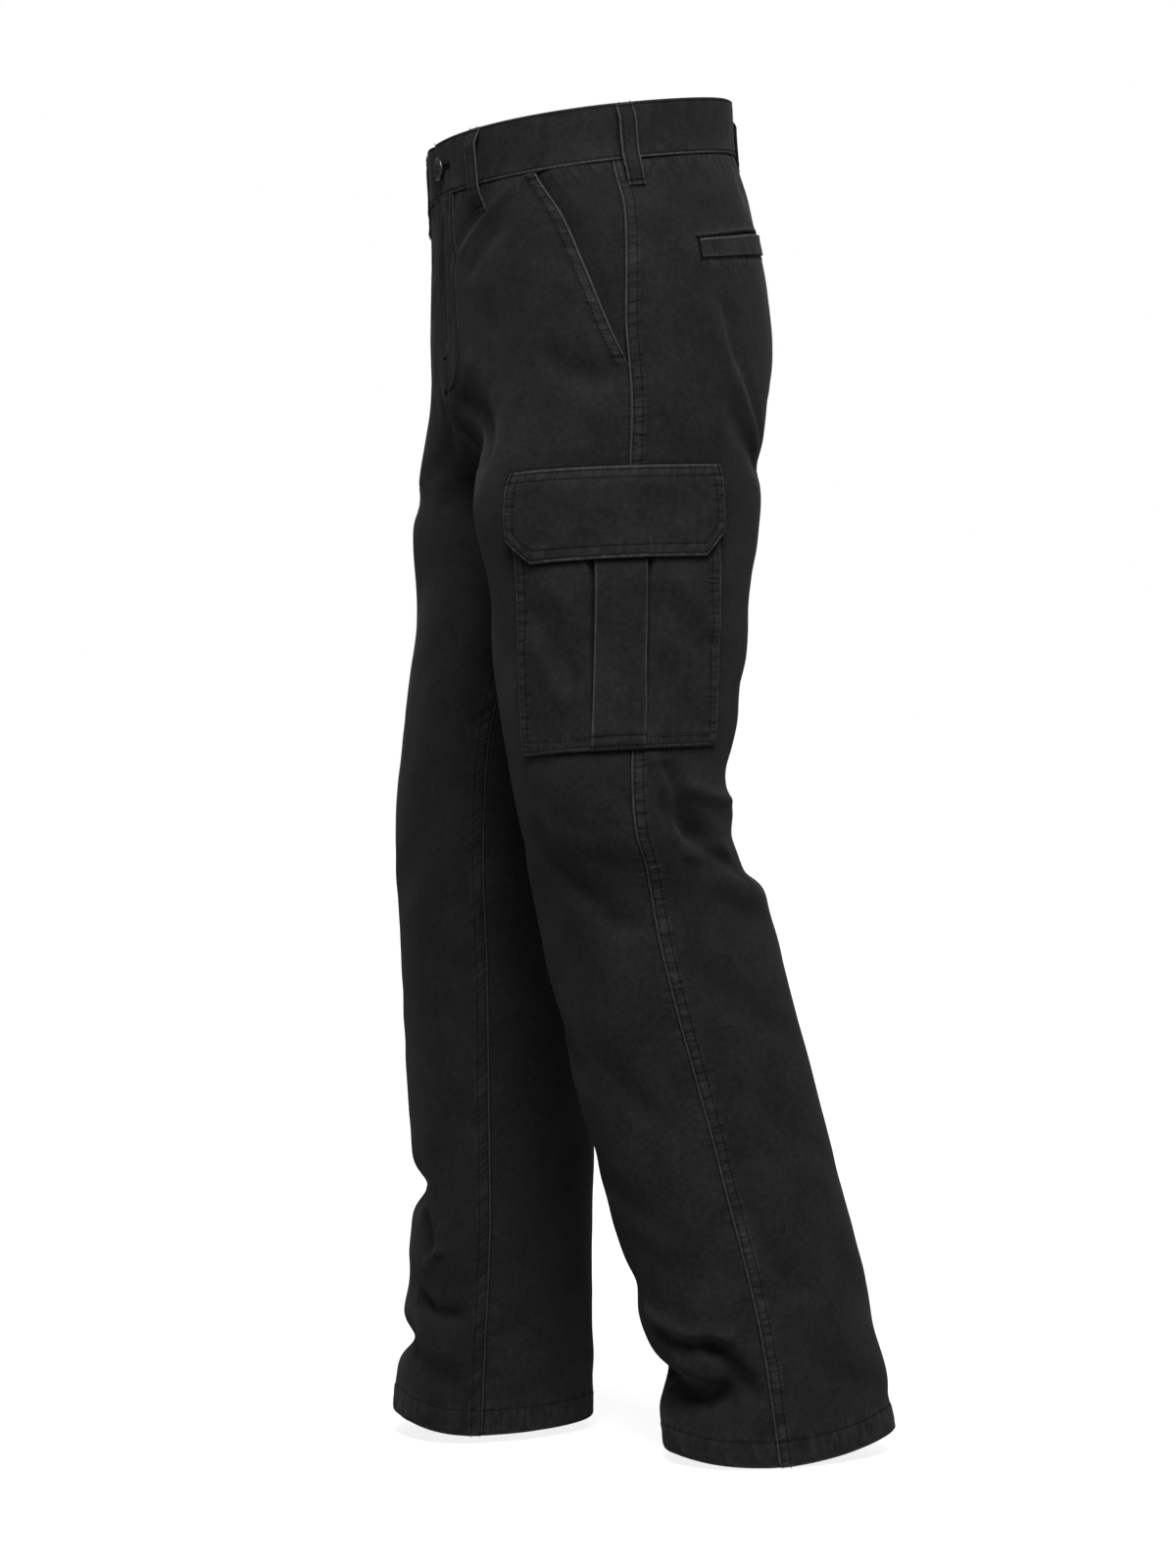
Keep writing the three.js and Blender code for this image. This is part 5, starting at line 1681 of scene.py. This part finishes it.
class TrousersLook(bpy.types.PropertyGroup):
    cloth_thickness: length("Cloth thickness", "Thickness of one panel", 0.001)
    pucker: share("Pucker", "How far the seams draw the cloth up, 1 as sewn", 1.0, 2.0)
    twill_pitch: length("Twill pitch", "Distance between the weave's diagonal lines", 0.001)
    stitch_pitch: length("Stitch pitch", "From one stitch to the next", 0.0033)
    stitch_length: length("Stitch length", "Length of one stitch on the face", 0.0027)
    thread_width: length("Thread width", "Width of the thread", 0.0007)
    rung_height: length("Rung height", "Height of the small folds drawn up along the seams", 0.0009)
    rung_wear: share("Rung wear", "How far the crests of those folds are rubbed pale", 0.13)
    sheen: share("Sheen", "Soft light off the nap at grazing angles", 0.026)
    worn_share: share("Wear", "How far rubbed edges turn to the worn colour", 0.9)
    # Strength of all painted shade: stitch channels, seam roots, slits, the pocket mouth, round and under the
    # flaps, crease troughs and inner thighs
    painted_shade_share: share("Grooves", "How dark the stitched grooves and the roots of the seams are", 0.9)
    cloth: tint("Cloth", "Colour of the dyed twill", (0.0088, 0.0088, 0.0089))
    worn: tint("Worn cloth", "Colour of rubbed edges", (0.056, 0.056, 0.0565))
    thread: tint("Thread", "Colour of the sewing thread", (0.0022, 0.0022, 0.0022))
    button: tint("Button", "Colour of the button", (0.008, 0.008, 0.0085))
    floor: tint("Floor", "Colour of the floor", (0.30, 0.30, 0.30))
    key_power: FloatProperty(
        name="Key light", description="Power of the soft box", default=29.0, unit="POWER"
    )


class TROUSERS_OT_panels(bpy.types.Operator):
    """Cuts and fills out the two fronts and the two backs"""

    bl_idname = "trousers.panels"
    bl_label = "Leg panels"

    def execute(self, context):
        look = context.scene.trousers
        for leg in LEGS:
            front_panel(leg, look)
            back_panel(leg, look)
            hip_facing(leg, look)
        return {"FINISHED"}


class TROUSERS_OT_waist(bpy.types.Operator):
    """Makes the waistband, the fly and the five belt loops"""

    bl_idname = "trousers.waist"
    bl_label = "Waistband, fly and loops"

    def execute(self, context):
        look = context.scene.trousers
        waistband(look)
        fly(look)
        for loop in LOOPS:
            belt_loop(loop, look)
        return {"FINISHED"}


class TROUSERS_OT_button(bpy.types.Operator):
    """Makes the button and the thread that holds it"""

    bl_idname = "trousers.button"
    bl_label = "Button"

    def execute(self, context):
        button(context.scene.trousers)
        return {"FINISHED"}


class TROUSERS_OT_pockets(bpy.types.Operator):
    """Makes the cargo pockets with their pleats and flaps, and the back welts"""

    bl_idname = "trousers.pockets"
    bl_label = "Pockets"

    def execute(self, context):
        look = context.scene.trousers
        for leg in LEGS:
            cargo_pocket(leg, look)
            cargo_pleat(leg, look)
            cargo_flap(leg, look)
            back_welt(leg, look)
        return {"FINISHED"}


class TROUSERS_OT_stitching(bpy.types.Operator):
    """Sews the topstitching and bar tacks onto the pieces"""

    bl_idname = "trousers.stitching"
    bl_label = "Stitching"

    def execute(self, context):
        look = context.scene.trousers
        seam_stitches(look)
        band_stitches(look)
        loop_stitches(look)
        cargo_stitches(look)
        welt_stitches(look)
        pocket_tacks(look)
        return {"FINISHED"}


class TROUSERS_OT_stage(bpy.types.Operator):
    """Sets the pale floor, the soft light and the camera"""

    bl_idname = "trousers.stage"
    bl_label = "Floor, light and camera"

    def execute(self, context):
        look = context.scene.trousers
        scene = context.scene
        low = (HEM - FLOOR_BELOW) * MM
        mesh = bpy.data.meshes.new("floor")
        corners = [(x * FLOOR_REACH, y * FLOOR_REACH, low) for x, y in ((-1, -1), (1, -1), (1, 1), (-1, 1))]
        mesh.from_pydata(corners, [], [(0, 1, 2, 3)])
        mesh.materials.append(floor_material(look))
        linked("floor", mesh)
        sky(scene)
        soft_box("key", look.key_power, size=1.2, azimuth=73, away=1.5, height=1.25, aim=-0.15)
        soft_box("fill", 16.0, size=1.6, azimuth=250, away=2.2, height=0.3, aim=-0.5)
        daylight(strength=2.5, azimuth=80, elevation=52)
        camera = bpy.data.cameras.new("camera")
        camera.lens = CAMERA_LENS
        camera.sensor_width = 36
        view = linked("camera", camera)
        view.location = CAMERA_PLACE
        view.rotation_euler = (math.radians(90), 0, math.radians(CAMERA_AZIMUTH))
        scene.camera = view
        scene.view_settings.view_transform = "Standard"
        return {"FINISHED"}


def floor_material(look):
    """White to look at, a shade less so near the feet so that their shadow shows, and dim as a lamp."""
    n = Nodes("studio floor")
    place = n.add("ShaderNodeTexCoord").outputs["Object"]
    low = [c * 0.99 for c in look.floor]
    n.join(n.mix(n.noise(place, 3, 2.0), low, list(look.floor)), n.shader.inputs["Base Color"])
    n.shader.inputs["Roughness"].default_value = 0.9
    n.shader.inputs["Specular IOR Level"].default_value = 0.1
    n.shader.inputs["Emission Color"].default_value = (1, 1, 1, 1)
    away = n.add("ShaderNodeVectorMath", operation="LENGTH")
    n.join(place, away.inputs[0])
    seen = n.add("ShaderNodeMapRange", interpolation_type="SMOOTHSTEP")
    n.join(away.outputs["Value"], seen.inputs["Value"])
    for name, given in (("From Min", 1.2), ("From Max", 3.2), ("To Min", 0.80), ("To Max", 0.96)):
        seen.inputs[name].default_value = given
    rays = n.add("ShaderNodeLightPath").outputs["Is Camera Ray"]
    glow = n.value("MULTIPLY", rays, seen.outputs[0])
    n.join(n.value("ADD", glow, 0.06), n.shader.inputs["Emission Strength"])
    return n.material


def soft_box(name, power, size, azimuth, away, height, aim):
    """A square lamp beside the garment, turned to a height on its middle line. Azimuth 0 is the front."""
    lamp = bpy.data.lights.new(name, "AREA")
    lamp.energy = power
    lamp.size = size
    turn = math.radians(azimuth)
    obj = linked(name, lamp)
    obj.location = (away * math.sin(turn), -away * math.cos(turn), height)
    obj.rotation_euler = (math.pi / 2 - math.atan2(height - aim, away), 0, turn)


def daylight(strength, azimuth, elevation):
    """An even light from one side, as from a window a long way off."""
    sun = bpy.data.lights.new("daylight", "SUN")
    sun.energy = strength
    sun.angle = math.radians(24)
    linked("daylight", sun).rotation_euler = (math.radians(90 - elevation), 0, math.radians(azimuth))


def sky(scene):
    """A white surround to look at, and softer light from it below than above."""
    world = bpy.data.worlds.new("studio")
    world.use_nodes = True
    tree = world.node_tree
    shade = tree.nodes["Background"]
    shade.inputs["Color"].default_value = (1, 1, 1, 1)
    shade.inputs["Strength"].default_value = 0.15
    seen = tree.nodes.new("ShaderNodeBackground")
    seen.inputs["Color"].default_value = (1, 1, 1, 1)
    seen.inputs["Strength"].default_value = 1.0
    path = tree.nodes.new("ShaderNodeLightPath")
    mix = tree.nodes.new("ShaderNodeMixShader")
    tree.links.new(path.outputs["Is Camera Ray"], mix.inputs[0])
    tree.links.new(shade.outputs[0], mix.inputs[1])
    tree.links.new(seen.outputs[0], mix.inputs[2])
    tree.links.new(mix.outputs[0], tree.nodes["World Output"].inputs["Surface"])
    scene.world = world


class TROUSERS_PT_sidebar(bpy.types.Panel):
    bl_label = "Cargo trousers"
    bl_idname = "TROUSERS_PT_sidebar"
    bl_space_type = "VIEW_3D"
    bl_region_type = "UI"
    bl_category = "Trousers"

    def draw(self, context):
        for operator in OPERATORS:
            self.layout.operator(operator.bl_idname)
        for name in TrousersLook.__annotations__:
            self.layout.prop(context.scene.trousers, name)


OPERATORS = (
    TROUSERS_OT_panels,
    TROUSERS_OT_waist,
    TROUSERS_OT_button,
    TROUSERS_OT_pockets,
    TROUSERS_OT_stitching,
    TROUSERS_OT_stage,
)
CLASSES = (TrousersLook, *OPERATORS, TROUSERS_PT_sidebar)


def register():
    for cls in CLASSES:
        bpy.utils.register_class(cls)
    bpy.types.Scene.trousers = PointerProperty(type=TrousersLook)


def unregister():
    del bpy.types.Scene.trousers
    for cls in reversed(CLASSES):
        bpy.utils.unregister_class(cls)


def main():
    register()
    bpy.ops.trousers.panels()
    bpy.ops.trousers.waist()
    bpy.ops.trousers.button()
    bpy.ops.trousers.pockets()
    bpy.ops.trousers.stitching()
    bpy.ops.trousers.stage()


if __name__ == "__main__":
    main()
